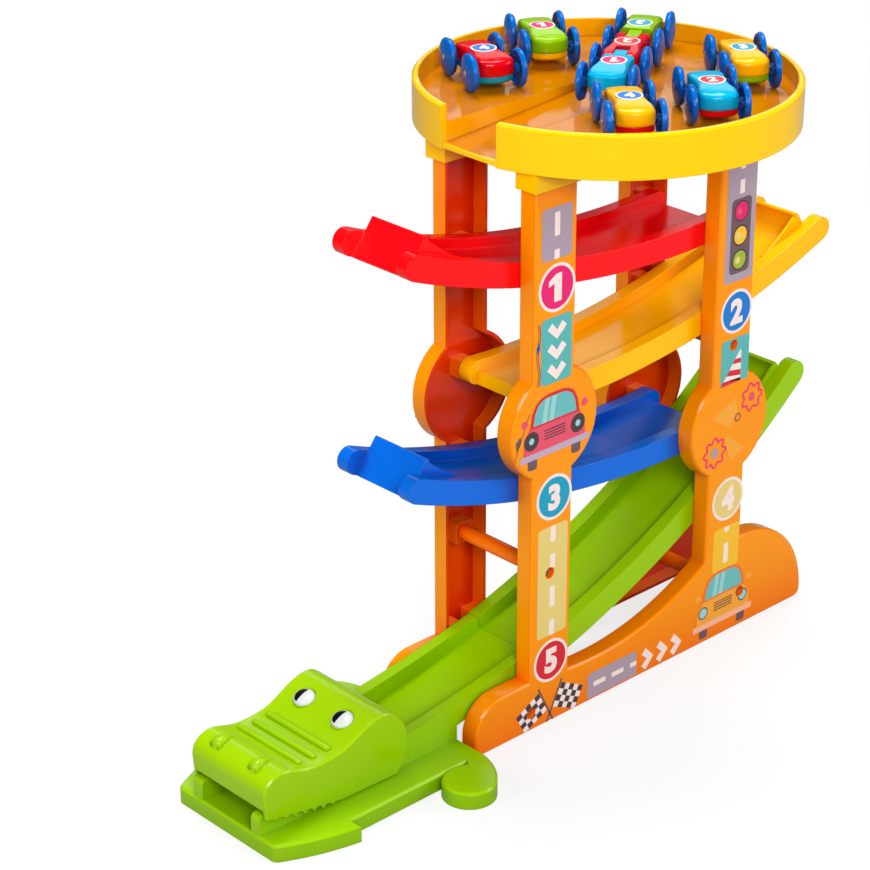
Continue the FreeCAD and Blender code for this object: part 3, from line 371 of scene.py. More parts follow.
def wheel_profile():
    """Half section of a wheel: hollow and hubbed inside, round at the tread, domed outside."""
    inside = track_half - wheel_half
    tread = 1.3
    dome_radius = 8.75
    dome_rise = wheel_tip - track_half - wheel_half + 0.45
    points = [(0.0, inside - 0.6), (2.4, inside - 0.6), (2.6, inside - 0.4), (2.6, inside + 1.3)]
    points += [(3.4, inside + 1.5), (7.1, inside + 1.5), (7.8, inside + 1.1), (8.1, inside + 0.3)]
    points += arc_points(8.6, inside + 0.5, 0.5, 215, 290, 4)
    points += arc_points(wheel_radius - tread, track_half + 0.1, tread, -55, 62, 8)
    for step in range(9):
        share = 1 - (step + 0.6) / 9
        points.append((dome_radius * share + 0.2, wheel_tip - dome_rise * share ** 2.1))
    points.append((0.0, wheel_tip))
    return points


def wheels(name, x, place, body, pinned):
    """Both wheels of one axle, in place of the plain CAD pair, with the ends of a steel axle."""
    middle = place @ Matrix.Translation(Vector((x, 0, wheel_radius)) * MM)
    sides = [middle @ Matrix.Scale(side, 4, (0, 1, 0)) for side in (1, -1)]
    end = track_half - 1.2
    bm = bmesh.new()
    for turned in sides:
        lathe(bm, wheel_profile(), 56, turned)
    lathe(bm, [(0.0, -end), (axle_radius, -end), (axle_radius, end), (0.0, end)], 20, middle, 1)
    pair = finished(name, bm, [plastics["wheel_blue"], steel])
    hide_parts(name.replace("_pair", ""))
    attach(pair, body)
    if pinned:
        hub = [(0.0, -0.6), (1.55, -0.5), (1.55, 0.0), (1.3, 0.22), (0.0, 0.3)]
    else:
        hub = [(0.0, -0.2), (1.5, -0.2), (1.5, 0.02), (1.2, 0.14), (0.8, 0.04), (0.0, -0.04)]
    bm = bmesh.new()
    for turned in sides:
        lathe(bm, [(radius, wheel_tip + rise) for radius, rise in hub], 18 if pinned else 24, turned)
    cap = finished(name.replace("_pair", "_hubs"), bm, [steel if pinned else plastics["wheel_blue"]])
    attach(cap, body)


# Smooth car shells. The reaches are past the axles, the rounds are the depths of the two ends, the
# waist runs between the axles to within waist_end of each, and the brow is the roof's round edge.
nose_reach = 6.6
nose_round = 3.4
tail_reach = 5.4
tail_round = 2.6
shell_half = 9.2
hip_half = 8.8
tail_half = 8.4
waist_half = 7.3
waist_end = 3.5
shell_low = 7.8
roof_top = 16.6
roof_end = 14.8
brow = 2.3


def roof_height(x, front, rear):
    """Height of the roof at x: an arc through its two ends and its middle."""
    nose = front + nose_reach + 2
    tail = rear - tail_reach - 2
    middle = (front + rear) / 2
    bend = (roof_top - roof_end) / ((nose - middle) * (middle - tail))
    return roof_end + bend * (nose - x) * (x - tail)


def round_end(past, half, depth):
    """Half width of a round end of half width and depth, at a distance in from its tip."""
    radius = (half ** 2 + depth ** 2) / (2 * depth)
    return math.sqrt(max(radius ** 2 - (radius - past) ** 2, 0.0))


def half_width(x, front, rear):
    """Half the width of a shell in plan: round ends, full cheeks and a drawn-in waist."""
    from_nose = front + nose_reach - x
    from_tail = x - rear + tail_reach
    if from_nose < nose_round:
        return round_end(from_nose, shell_half, nose_round)
    if from_tail < tail_round:
        return round_end(from_tail, tail_half, tail_round)
    share = (x - (front + rear) / 2) / ((front - rear) / 2 - waist_end)
    if share > 1:
        return shell_half
    if share < -1:
        past = (rear + waist_end - x) / (waist_end + tail_reach - tail_round)
        return hip_half - (hip_half - tail_half) * past
    return waist_half + ((shell_half if share > 0 else hip_half) - waist_half) * share ** 2


def car_plan(front, rear):
    """A shell's smoothed outline in plan, and the outward direction at each point."""
    middle = (front + nose_reach + rear - tail_reach) / 2
    reach = (front + nose_reach - rear + tail_reach) / 2
    steps = 60
    xs = [middle - reach * math.cos(math.pi * step / steps) for step in range(steps + 1)]
    plan = [Vector((x, half_width(x, front, rear))) for x in xs]
    plan += [Vector((x, -half_width(x, front, rear))) for x in reversed(xs[1:-1])]
    count = len(plan)
    for _ in range(3):
        plan = [plan[i] * 0.5 + (plan[i - 1] + plan[(i + 1) % count]) * 0.25 for i in range(count)]
    along = [(plan[(i + 1) % count] - plan[i - 1]).normalized() for i in range(count)]
    return plan, [Vector((-way.y, way.x)) for way in along]


def car_body(name, place, finish):
    """A single car's shell with a rounded brow, in place of the chamfered CAD one."""
    front = wheelbase / 2
    plan, outward = car_plan(front, -front)
    count = len(plan)
    bm = bmesh.new()

    def inset_plan(inset):
        return [p - n * inset for p, n in zip(plan, outward)]

    def ring(points):
        return [bm.verts.new(place @ (Vector(point) * MM)) for point in points]

    rings = [ring([(p.x, p.y, shell_low + rise) for p in inset_plan(inset)])
             for inset, rise in ((0.5, 0.0), (0.1, 0.5), (0.0, 1.4))]
    for turn in [math.radians(15 * step) for step in range(7)]:
        drop = 0.9 * brow * (1 - math.sin(turn))
        rings.append(ring([(p.x, p.y, roof_height(p.x, front, -front) - drop)
                           for p in inset_plan(brow * (1 - math.cos(turn)))]))
    for share in (0.75, 0.5, 0.25):
        crown = 0.25 * (1 - share ** 2)
        drawn_in = [(p.x * (0.94 + 0.06 * share), p.y * share) for p in inset_plan(brow)]
        rings.append(ring([(x, y, roof_height(x, front, -front) + crown) for x, y in drawn_in]))
    for a, b in zip(rings, rings[1:]):
        join_rings(bm, a, b)
    bm.faces.new(rings[0])
    inner = rings[-1]
    for i in range(count // 2):
        corners = [inner[i], inner[i + 1], inner[count - i - 1], inner[-i]]
        bm.faces.new(list(dict.fromkeys(corners)))
    shell = finished(name + "_body", bm, [plastics[finish]])
    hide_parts(name + "_shell")
    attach(shell, name)


# Digits and discs. The 1 is drawn, because it has a broader flag than the font's.
flagged_height = 14.0
flagged_one = ((-1.9, -7.0), (3.0, -7.0), (3.0, 7.0), (-0.7, 7.0), (-5.6, 4.1), (-5.6, 1.1),
               (-1.9, 2.5))


def slab(points, faces, thick):
    """Closed slab over a flat figure, as (points, faces) with its height along Z. A wall stands on
    each edge that only one face has."""
    count = len(points)
    walls = {}
    for face in faces:
        for a, b in zip(face, face[1:] + face[:1]):
            if walls.pop((b, a), None) is None:
                walls[(a, b)] = True
    solid = [Vector((x, y, 0.0)) for x, y in points] + [Vector((x, y, thick)) for x, y in points]
    skin = [tuple(face) for face in faces] + [tuple(i + count for i in reversed(face)) for face in faces]
    skin += [(b, a, a + count, b + count) for a, b in walls]
    return solid, skin


def digit_mesh(text, height, thick):
    """A bold digit as (points, faces), centred, its height along local Y, its thickness along Z."""
    if text == "1":
        scale = height / flagged_height
        outline = [(x * scale, y * scale) for x, y in flagged_one]
        return slab(outline, [[0, 1, 2, 3, 6], [3, 4, 5, 6]], thick)
    curve = bpy.data.curves.new("digit", "FONT")
    curve.body = text
    curve.size = 1.0
    curve.offset = 0.055
    curve.extrude = 0.5
    curve.resolution_u = 6
    holder = bpy.data.objects.new("digit", curve)
    bpy.context.scene.collection.objects.link(holder)
    bpy.context.view_layer.update()
    evaluated = holder.evaluated_get(bpy.context.evaluated_depsgraph_get())
    mesh = bpy.data.meshes.new_from_object(evaluated)
    points = [v.co.copy() for v in mesh.vertices]
    faces = [tuple(f.vertices) for f in mesh.polygons]
    bpy.data.objects.remove(holder)
    bpy.data.curves.remove(curve)
    bpy.data.meshes.remove(mesh)
    xs = [p.x for p in points]
    ys = [p.y for p in points]
    scale = height / (max(ys) - min(ys))
    middle = Vector(((min(xs) + max(xs)) / 2, (min(ys) + max(ys)) / 2, 0))
    centred = [(p - middle) * scale for p in points]
    return [Vector((q.x, q.y, thick * (0.5 + p.z))) for p, q in zip(points, centred)], faces


def roof_number(name, digit, ink, place, centre_x, front, rear, upward, body):
    """A round number sticker that lies on the curve of a car's roof. It lies higher on the single
    cars, whose roofs are crowned."""
    radius = 6.4
    lift = 0.32 if body in single_cars else 0.06
    bm = bmesh.new()

    def on_roof(x, y, height):
        level = roof_height(centre_x + x, front, rear) + lift + height
        return bm.verts.new(place @ (Vector((centre_x + x, y, level)) * MM))

    def ring(size, height):
        return [on_roof(x, y, height) for x, y in circle(0, 0, size)]

    for size, base, top, index in ((radius, -0.2, 0.05, 0), (radius * 0.86, 0.0, 0.09, 1)):
        rings = [ring(size, base)] + [ring(size * share, top) for share in (1.0, 0.66, 0.33)]
        for a, b in zip(rings, rings[1:]):
            join_rings(bm, a, b, index)
        close_ring(bm, rings[-1], on_roof(0, 0, top), index)
    points, faces = digit_mesh(digit, 7.0, 0.05)
    corners = [on_roof(upward * p.y, -upward * p.x, 0.11 + p.z) for p in points]
    for face in faces:
        bm.faces.new([corners[i] for i in face]).material_index = 0
    disc = finished(name, bm, [inks["white"], inks[ink]], smooth=False)
    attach(disc, body)


def dress_cars():
    """Wheels, shells and numbers of the single cars, and wheels and numbers of the train."""
    numbers = {"red_car": ("4", "blue"), "green_car": ("1", "pink"), "blue_car": ("2", "red"),
               "yellow_car": ("4", "blue"), "amber_car": ("3", "cyan")}
    front = wheelbase / 2
    for car, (spot, finish) in single_cars.items():
        place = car_matrix(spot)
        car_body(car, place, finish)
        for end, axle_x in (("front", front), ("rear", -front)):
            wheels("%s_%s_wheels_pair" % (car, end), axle_x, place, "%s_%s_wheelset" % (car, end), True)
        digit, ink = numbers[car]
        roof_number(car + "_number", digit, ink, place, 0.6, front, -front, -1, car)
    place = car_matrix(train_spot)
    axles = [train_pitch * share for share in (1.5, 0.5, -0.5, -1.5)]
    for number, x in enumerate(axles, 1):
        wheels("train_wheels_%d_pair" % number, x, place, "train_wheelset_%d" % number, False)
    sections = (("train_lead", "1", "pink", 1.5, "car_cyan"),
                ("train_middle", "2", "red", 0.0, "car_red"),
                ("train_tail", "3", "cyan", -1.5, "car_green"))
    for (body, digit, ink, shift, slot), fore, aft in zip(sections, axles, axles[1:]):
        centre = (fore + aft) / 2 + shift
        roof_number(body + "_number", digit, ink, place, centre, fore, aft, 1, body)


# Stickers on the outer faces of the two side frames. A mark is an outline in x and z, its ink and
# its layer: the film is 0.1 thick, and each layer of ink adds a step.
film = 0.1
ink_step = 0.035
digit_height = 14.0
frame_digits = (("1", -16.2, 236.0), ("3", -15.8, 126.7), ("5", -16.3, 35.9), ("2", 113.8, 187.0),
                ("4", 114.1, 81.0))
screw_places = ((-18.0, 85.7), (113.0, 168.6), (-29.8, 10.5), (127.0, 21.4))
recess_radius = 3.1


def patch(x0, x1, z0, z1, corner):
    """A rectangle with round corners."""
    corners = ((x1 - corner, z1 - corner), (x0 + corner, z1 - corner), (x0 + corner, z0 + corner),
               (x1 - corner, z0 + corner))
    points = []
    for (cx, cz), start in zip(corners, (0, 90, 180, 270)):
        points += arc_points(cx, cz, corner, start, start + 90, 5)
    return points


def chevron(x, z, turn):
    """A bold arrow head with its tip at (x, z), turned in degrees from pointing along +X."""
    c = math.cos(math.radians(turn))
    s = math.sin(math.radians(turn))
    local = [(0, 0), (-5.9, 6.4), (-8.8, 3.4), (-4.9, 0), (-8.8, -3.4), (-5.9, -6.4)]
    return [(x + px * c - pz * s, z + px * s + pz * c) for px, pz in local]


def road(x0, x1, z0, z1, ink, dashes, upright=True, corner=2.2, dash_half=1.7):
    """A piece of road with its middle line."""
    marks = [(patch(x0, x1, z0, z1, corner), ink, 0)]
    for a, b in dashes:
        if upright:
            middle = (x0 + x1) / 2
            marks.append((patch(middle - dash_half, middle + dash_half, a, b, 0.3), "white", 1))
        else:
            middle = (z0 + z1) / 2
            marks.append((patch(a, b, middle - dash_half, middle + dash_half, 0.3), "white", 1))
    return marks


def number_disc(x, z, radius, ink):
    """The coloured disc behind a number, with a white edge."""
    return [(circle(x, z, radius), "white", 0), (circle(x, z, radius * 0.87), ink, 1)]


def traffic_light(x0, x1, z0, z1):
    """A box with three lamps, each in a dark ring and with a glint."""
    marks = [(patch(x0, x1, z0, z1, 2.6), "brown", 1)]
    middle = (x0 + x1) / 2
    for z, ink, glint in ((240.9, "pink", "rose"), (227.9, "gold", "sand"), (214.9, "lime", "sand")):
        marks += [(circle(middle, z, 5.6, 32), "dark", 2), (circle(middle, z, 4.7, 32), ink, 3),
                  (circle(middle - 1.4, z, 1.9, 24), glint, 4)]
    return marks


def cone_mark():
    """A striped road cone that stands at the right of its patch. A rung is its left end and its
    right end."""
    rungs = [((118.2, 164.7), (118.9, 164.7)), ((114.4, 160.4), (119.0, 160.0)),
             ((112.4, 158.1), (119.0, 157.3)), ((110.4, 155.1), (119.1, 153.6)),
             ((108.2, 152.4), (119.1, 150.4)), ((106.0, 149.9), (119.2, 147.6))]
    marks = []
    for number, (high, low) in enumerate(zip(rungs, rungs[1:])):
        marks.append(([low[0], low[1], high[1], high[0]], ("white", "red")[number % 2], 1))
    marks.append(([(103.8, 147.3), (119.4, 147.3), (119.2, 149.0), (105.4, 149.9)], "red", 1))
    return marks


def flag(corners, ink_a, ink_b, columns, rows):
    """A chequered flag between four corners, given round its edge."""
    a, b, c, d = [Vector(p) for p in corners]

    def at(i, j):
        return tuple(a.lerp(b, i / columns).lerp(d.lerp(c, i / columns), j / rows))

    marks = [(list(corners), ink_b, 1)]
    for i in range(columns):
        for j in range(i % 2, rows, 2):
            marks.append(([at(i, j), at(i + 1, j), at(i + 1, j + 1), at(i, j + 1)], ink_a, 2))
    return marks


def stroke(points, half, ink, layer, closed=False):
    """A drawn line as a run of short slabs with mitred ends."""
    last = len(points) - 1
    sides = []
    for i, (x, z) in enumerate(points):
        before = points[i - 1] if closed or i else points[i]
        after = points[(i + 1) % (last + 1)] if closed or i < last else points[i]
        along = Vector((after[0] - before[0], after[1] - before[1])).normalized() * half
        sides.append(((x - along.y, z + along.x), (x + along.y, z - along.x)))
    pairs = zip(sides, sides[1:] + (sides[:1] if closed else []))
    return [([a[0], b[0], b[1], a[1]], ink, layer) for a, b in pairs]


def gear_line(x, z, radius, teeth, ink):
    """The outline of a gear wheel with wavy teeth."""
    points = []
    for step in range(teeth * 8):
        turn = 2 * math.pi * step / (teeth * 8)
        reach = radius * (0.86 + 0.14 * math.cos(teeth * turn))
        points.append((x + reach * math.cos(turn), z + reach * math.sin(turn)))
    return stroke(points, 0.5, ink, 1, closed=True)


def curl(x, z, radius, start, ink):
    """A small spiral at the end of a thin line."""
    points = []
    for step in range(29):
        turn = math.radians(start + 20 * step)
        reach = radius * (1 - step / 40)
        points.append((x + reach * math.cos(turn), z + reach * math.sin(turn)))
    return stroke(points, 0.22, ink, 0)


def front_of_car(x, z, paint, roof, bumper, lamp_ring, lamp, lamp_radius):
    """A small car seen from the front, drawn from simple shapes, with its tyres on z."""
    def shape(points, ink, layer):
        return ([(x + px, z + pz) for px, pz in points], ink, layer)

    def mirrored(points):
        return points + [(-px, pz) for px, pz in reversed(points)]

    def bar(half, low, high):
        return [(-half, low), (half, low), (half, high), (-half, high)]

    shoulder = [(20.9, 7.5), (20.4, 15.5)]
    cabin = [(16.6, 22.2), (15.4, 28.8), (12.8, 33.6), (8.8, 36.0), (4.4, 36.8)]
    windscreen = [(14.6, 22.6), (13.6, 28.4), (11.4, 32.6), (8.0, 34.6), (4.0, 35.2)]
    marks = [shape(mirrored(shoulder + cabin), roof, 1),
             shape(mirrored(shoulder + [(16.4, 21.6)]), paint, 2),
             shape(mirrored(windscreen), "glass", 2)]
    for foot in (-9.0, -4.2):
        glint = [(foot, 22.6), (foot + 3.2, 22.6), (foot + 5.2, 35.0), (foot + 2.2, 35.0)]
        marks.append(shape(glint, "shine", 3))
    tyre = [(11.6, 8.4), (11.8, 0.8), (13.0, 0.0), (16.6, 0.0), (17.8, 0.8), (18.0, 8.4)]
    for side in (-1, 1):
        marks += [(circle(x + side * 15.7, z + 15.4, lamp_radius, 36), lamp_ring, 3),
                  (circle(x + side * 15.7, z + 15.4, lamp, 28), "shine", 4),
                  (circle(x + side * 20.2, z + 25.2, 2.1, 20), paint, 1),
                  shape([(side * px, pz) for px, pz in tyre], "brown", 1)]
    marks += [shape(bar(7.2, level, level + 0.65), "dark", 3) for level in (13.4, 14.9, 16.4, 17.9)]
    marks.append(shape(bar(23.2, 5.1, 8.5), bumper, 4))
    return marks


def dashes_between(high, low, length, gap):
    """Dashes from high down to low, as (bottom, top) pairs."""
    count = int((high - low + gap) // (length + gap))
    tops = [high - (length + gap) * i for i in range(count)]
    return [(top - length, top) for top in tops]


def left_post_marks():
    """Road, arrows, a car and numbers 1, 3 and 5."""
    marks = road(-26.8, -6.6, 250.4, 276.4, "road", [(262.0, 273.6), (250.5, 255.2)])
    marks += number_disc(-16.2, 236.0, 12.2, "pink")
    marks.append((patch(-26.1, -5.7, 187.7, 221.5, 2.4), "teal", 0))
    marks += [(chevron(-15.7, tip, -90), "white", 1) for tip in (209.7, 199.2, 188.9)]
    marks += front_of_car(-16.2, 146.0, "rose", "red", "lavender", "dark", 1.7, 4.9)
    marks += number_disc(-15.8, 126.7, 12.1, "cyan")
    dashes = [(102.7, 111.2), (88.2, 95.8), (66.4, 78.0), (50.5, 59.1)]
    marks += road(-26.4, -6.0, 50.4, 111.3, "sand", dashes)
    marks += number_disc(-16.3, 35.9, 11.9, "red")
    marks += curl(-27.4, 183.6, 2.0, -20, "amber") + curl(-5.6, 183.4, 1.6, 200, "amber")
    for shift in (0.0, 1.1):
        wave = [(-27.3 - shift + 0.7 * math.sin(0.45 * step), 220.0 - 1.5 * step) for step in range(22)]
        marks += stroke(wave, 0.2, "brown", 0)
    marks.append(([(-29.4, 208.0), (-27.2, 211.4), (-27.0, 207.4), (-28.4, 205.2)], "blue", 0))
    string = [(-33.0, 176.0), (-35.6, 172.0), (-37.2, 167.0), (-40.6, 160.4), (-42.6, 154.0)]
    marks += stroke(string, 0.2, "brown", 0)
    marks.append(([(-42.4, 163.4), (-39.2, 166.2), (-38.9, 162.4), (-41.6, 158.8)], "brown", 0))
    return marks


def right_post_marks():
    """Road, traffic light, cone, gears, a car and numbers 2 and 4."""
    marks = road(103, 124.6, 203.6, 285, "road", dashes_between(283, 249, 7.2, 5.6), corner=1.5)
    marks += traffic_light(106.4, 121.3, 207.9, 247.8)
    marks += number_disc(113.8, 187.0, 11.9, "blue")
    marks.append((patch(103.7, 124.9, 147.3, 172.2, 1.6), "teal", 0))
    marks += cone_mark()
    marks += gear_line(101.8, 111.2, 8.6, 8, "pink") + gear_line(129.2, 135.0, 8.0, 7, "pink")
    marks.append((circle(101.8, 111.2, 2.9, 24), "road", 1))
    marks.append((circle(129.2, 135.0, 2.4, 24), "rose", 1))
    wide = [(98.2, 131.2), (112.0, 136.4), (116.4, 138.4), (118.2, 131.2), (113.2, 122.2)]
    narrow = [(110.8, 119.0), (124.4, 107.6), (114.2, 102.6), (110.4, 113.4)]
    marks += [(wide, "amber", 0), (narrow, "amber", 0)]
    marks += stroke(circle(118.8, 126.4, 2.0, 20), 0.35, "brown", 1, closed=True)
    marks += number_disc(114.1, 81.0, 12.2, "sand")
    marks += road(104.1, 124.4, 39.5, 64.8, "gold", [(61.6, 64.7), (43.4, 55.0)])
    marks += front_of_car(113.9, 3.2, "amber", "orange", "blush", "brown", 2.9, 3.7)
    return marks


def base_marks():
    """Road, arrows and two crossed flags."""
    marks = road(10.6, 47.3, 2.0, 16.3, "road", [(15.2, 24.0), (28.6, 37.4), (42.4, 47.2)], upright=False,
                 dash_half=1.35)
    marks += [(chevron(tip, 8.6, 0), "white", 0) for tip in (60.0, 71.2, 81.9)]
    crossing = -16.4
    cloth = [(-8.1, 20.0), (7.3, 11.9), (1.4, 0.8), (-14.3, 8.1)]
    pole = [(-7.6, 22.2), (-8.5, 22.4), (-19.0, 1.2), (-18.1, 0.8)]
    for mirror in (1, -1):
        marks += flag([(crossing + mirror * (x - crossing), z) for x, z in cloth], "dark", "white", 5, 4)
        marks.append(([(crossing + mirror * (x - crossing), z) for x, z in pole], "brown", 3))
    return marks


def inside(outline, x, z):
    """True if a point lies within a closed outline."""
    within = False
    for (x0, z0), (x1, z1) in zip(outline, outline[1:] + outline[:1]):
        if (z0 > z) != (z1 > z) and x < x0 + (z - z0) * (x1 - x0) / (z1 - z0):
            within = not within
    return within


def cut_figure(outline, holes):
    """Triangles that fill an outline but leave its round holes open, as (points, faces)."""
    points = []
    edges = []
    for loop in [outline] + holes:
        first = len(points)
        points += [Vector(p) for p in loop]
        edges += [(first + i, first + (i + 1) % len(loop)) for i in range(len(loop))]
    flat, _, faces, _, _, _ = delaunay_2d_cdt(points, edges, [], 0, 1e-7)
    kept = []
    for face in faces:
        middle = sum((flat[i] for i in face), Vector((0, 0))) / len(face)
        if inside(outline, *middle) and not any(inside(hole, *middle) for hole in holes):
            kept.append(list(face))
    used = sorted({i for face in kept for i in face})
    order = {old: new for new, old in enumerate(used)}
    return [tuple(flat[i]) for i in used], [[order[i] for i in face] for face in kept]


def sticker_sheet(name, marks, side, digits=()):
    """Film and ink on one frame's outer face, each mark a closed slab cut out round the screws."""
    bm = bmesh.new()
    used = list(dict.fromkeys(["white"] + [ink for _, ink, _ in marks]))
    recesses = [circle(x, z, recess_radius, 40) for x, z in screw_places]

    def lay(points, faces, ink, low):
        corners = [bm.verts.new((p.x * MM, side * (low + p.z) * MM, p.y * MM)) for p in points]
        for face in faces:
            bm.faces.new([corners[i] for i in face]).material_index = used.index(ink)

    for outline, ink, layer in marks:
        holes = [hole for hole in recesses
                 if any(inside(outline, *p) for p in hole) or inside(hole, *outline[0])]
        points, faces = cut_figure(outline, holes)
        solid, skin = slab(points, faces, film + ink_step * layer)
        lay(solid, skin, ink, frame_face)
    for digit, x, z in digits:
        points, faces = digit_mesh(digit, digit_height, ink_step)
        shifted = [Vector((x - side * p.x, z + p.y, p.z)) for p in points]
        lay(shifted, faces, "white", frame_face + film + ink_step)
    sheet = finished(name, bm, [inks[ink] for ink in used], smooth=False)
    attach(sheet, "track")


def dress_frames():
    """Three sticker sheets on each side frame, with the digits of the posts."""
    left = [digit for digit in frame_digits if digit[1] < 0]
    right = [digit for digit in frame_digits if digit[1] > 0]
    for word, side in (("near", -1), ("far", 1)):
        sticker_sheet("left_post_stickers_" + word, left_post_marks(), side, left)
        sticker_sheet("right_post_stickers_" + word, right_post_marks(), side, right)
        sticker_sheet("base_stickers_" + word, base_marks(), side)


# Screws, repeated by Geometry Nodes
def screw_head():
    """A pan head with a cross recess, its axis along +Z and its seat at the origin."""
    bm = bmesh.new()
    lathe(bm, [(0.0, 0.0), (2.45, 0.0), (2.45, 0.5), (2.2, 1.1), (1.6, 1.5), (0.8, 1.68), (0.0, 1.72)], 32,
          Matrix.Rotation(math.radians(90), 4, "X"))
    head = finished("screw_head", bm, [steel])
    for turn in (0, 90):
        bm = bmesh.new()
        bmesh.ops.create_cube(bm, size=1.0)
        bm.transform(Matrix.Rotation(math.radians(turn), 4, "Z") @ Matrix.Translation((0, 0, 1.5 * MM))
                     @ Matrix.Diagonal((3.2 * MM, 0.6 * MM, 1.6 * MM, 1.0)))
        blade = finished("screw_blade", bm, [steel], smooth=False)
        cut = head.modifiers.new("cross", "BOOLEAN")
        cut.object = blade
        cut.solver = "EXACT"
        applied = bpy.data.meshes.new_from_object(head.evaluated_get(bpy.context.evaluated_depsgraph_get()))
        head.modifiers.clear()
        head.data = applied
        bpy.data.objects.remove(blade)
    return head


def screw_group(head):
    """Puts one screw head on every vertex of a mesh, turned along its normal."""
    tree = bpy.data.node_groups.new("screws_on_points", "GeometryNodeTree")
    tree.interface.new_socket("Geometry", in_out="INPUT", socket_type="NodeSocketGeometry")
    size = tree.interface.new_socket("Head scale", in_out="INPUT", socket_type="NodeSocketFloat")
    tree.interface.new_socket("Geometry", in_out="OUTPUT", socket_type="NodeSocketGeometry")
    source = add(tree, "NodeGroupInput")
    pattern = add(tree, "GeometryNodeObjectInfo", {"Object": head})
    normal = add(tree, "GeometryNodeInputNamedAttribute", {"Name": "outward"}, data_type="FLOAT_VECTOR")
    turned = add(tree, "FunctionNodeAlignRotationToVector", {"Vector": normal.outputs[0]}, axis="Z")
    spread = add(tree, "GeometryNodeInstanceOnPoints", {
        "Points": source.outputs[0], "Instance": pattern.outputs["Geometry"],
        "Rotation": turned.outputs[0], "Scale": source.outputs[1]})
    real = add(tree, "GeometryNodeRealizeInstances", {0: spread.outputs[0]})
    finish = add(tree, "GeometryNodeSetMaterial", {"Geometry": real.outputs[0], "Material": steel})
    add(tree, "NodeGroupOutput", {0: finish.outputs[0]})
    return tree, size.identifier


def frame_screws():
    """A screw at the foot of each recess in both side frames."""
    recess_floor = 31.6
    head = screw_head()
    tree, size = screw_group(head)
    points = [Vector((x, side * recess_floor, z)) * MM for side in (-1, 1) for x, z in screw_places]
    mesh = bpy.data.meshes.new("frame_screws")
    mesh.from_pydata(points, [], [])
    outward = mesh.attributes.new("outward", "FLOAT_VECTOR", "POINT")
    for i, p in enumerate(points):
        outward.data[i].vector = (0, math.copysign(1, p.y), 0)
    made = bpy.data.objects.new("frame_screws", mesh)
    bpy.context.scene.collection.objects.link(made)
    modifier = made.modifiers.new("screws", "NODES")
    modifier.node_group = tree
    modifier[size] = 1.0
    bpy.context.view_layer.update()
    plain = bpy.data.meshes.new_from_object(made.evaluated_get(bpy.context.evaluated_depsgraph_get()))
    made.modifiers.clear()
    made.data = plain
    bpy.data.objects.remove(head)
    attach(made, "track")


# The crocodile's snout and eyes. The seats are where the snout's level is taken. Each eye is an
# oval dome in a round collar, and its own X runs along the head and its Y across it.
ridge_xs = (-151.8, -160.55, -169.3)
ridge_half = 21.3
ridge_radius = 1.6
ridge_lift = 0.4
ridge_seat_y = 23.4
nostril_front = -190.3
nostril_y = 13.9
nostril_length = 11.0
nostril_half = 3.2
nostril_height = 3.1
nostril_sink = 1.2
nostril_lean = 0.9
nostril_seat_y = 6.5
eye_spot = Vector((-135.7, 13.9, 42.1))
eye_tilt = 22.3
eye_radius = 6.05
eye_along = 5.3
eye_across = 5.9
eye_rise = 1.75
eye_sink = 0.75
pupil_radius = 4.2
pupil_edge = 0.7
enamel = 0.12


def snout_ridges(bm, top):
    """Three round ridges across the snout. Each stands where the snout's edge is at its level."""
    for x in ridge_xs:
        profile = [(0.0, -ridge_half - ridge_radius)]
        for turn in [math.radians(angle) for angle in (30, 60, 90)]:
            profile.append((ridge_radius * math.sin(turn), -ridge_half - ridge_radius * math.cos(turn)))
        profile += [(radius, -y) for radius, y in reversed(profile)]
        level = top(x, ridge_seat_y) + ridge_lift
        lathe(bm, profile, 24, Matrix.Translation(Vector((x, 0, level)) * MM))


def nostril(bm, top, y):
    """A hooded nostril: a round-topped tab that runs out into the snout behind it."""
    sections = []
    for step in range(12):
        share = step / 11
        x = nostril_front + nostril_length * share
        height = nostril_height * (1 - share ** 1.8) + 0.02 + nostril_sink
        half = nostril_half * (1 - share ** 1.6) + 0.3
        foot = top(x, y + nostril_seat_y) - nostril_sink
        section = []
        for turn in [math.pi * i / 16 for i in range(17)]:
            across = math.copysign(abs(math.cos(turn)) ** 0.75, math.cos(turn))
            lean = nostril_lean * (1 - math.sin(turn)) if step == 0 else 0.0
            spot = Vector((x - lean, y + half * across, foot + height * math.sin(turn) ** 0.75))
            section.append(bm.verts.new(spot * MM))
        sections.append(section)
    for a, b in zip(sections, sections[1:]):
        join_rings(bm, a, b)
    bm.faces.new(sections[0])
    bm.faces.new(sections[-1])


def eye_matrix(side):
    """The frame of one eye, its Z out of the head."""
    place = Matrix.Translation(Vector((eye_spot.x, side * eye_spot.y, eye_spot.z)) * MM)
    return place @ Matrix.Rotation(math.radians(-eye_tilt), 4, "Y")


def on_eye(x, y, lift=0.0):
    """A point on the oval dome of an eye, in the eye's own frame."""
    share = min((x / eye_along) ** 2 + (y / eye_across) ** 2, 1.0)
    return Vector((x, y, eye_rise * math.sqrt(1 - share) + lift)) * MM


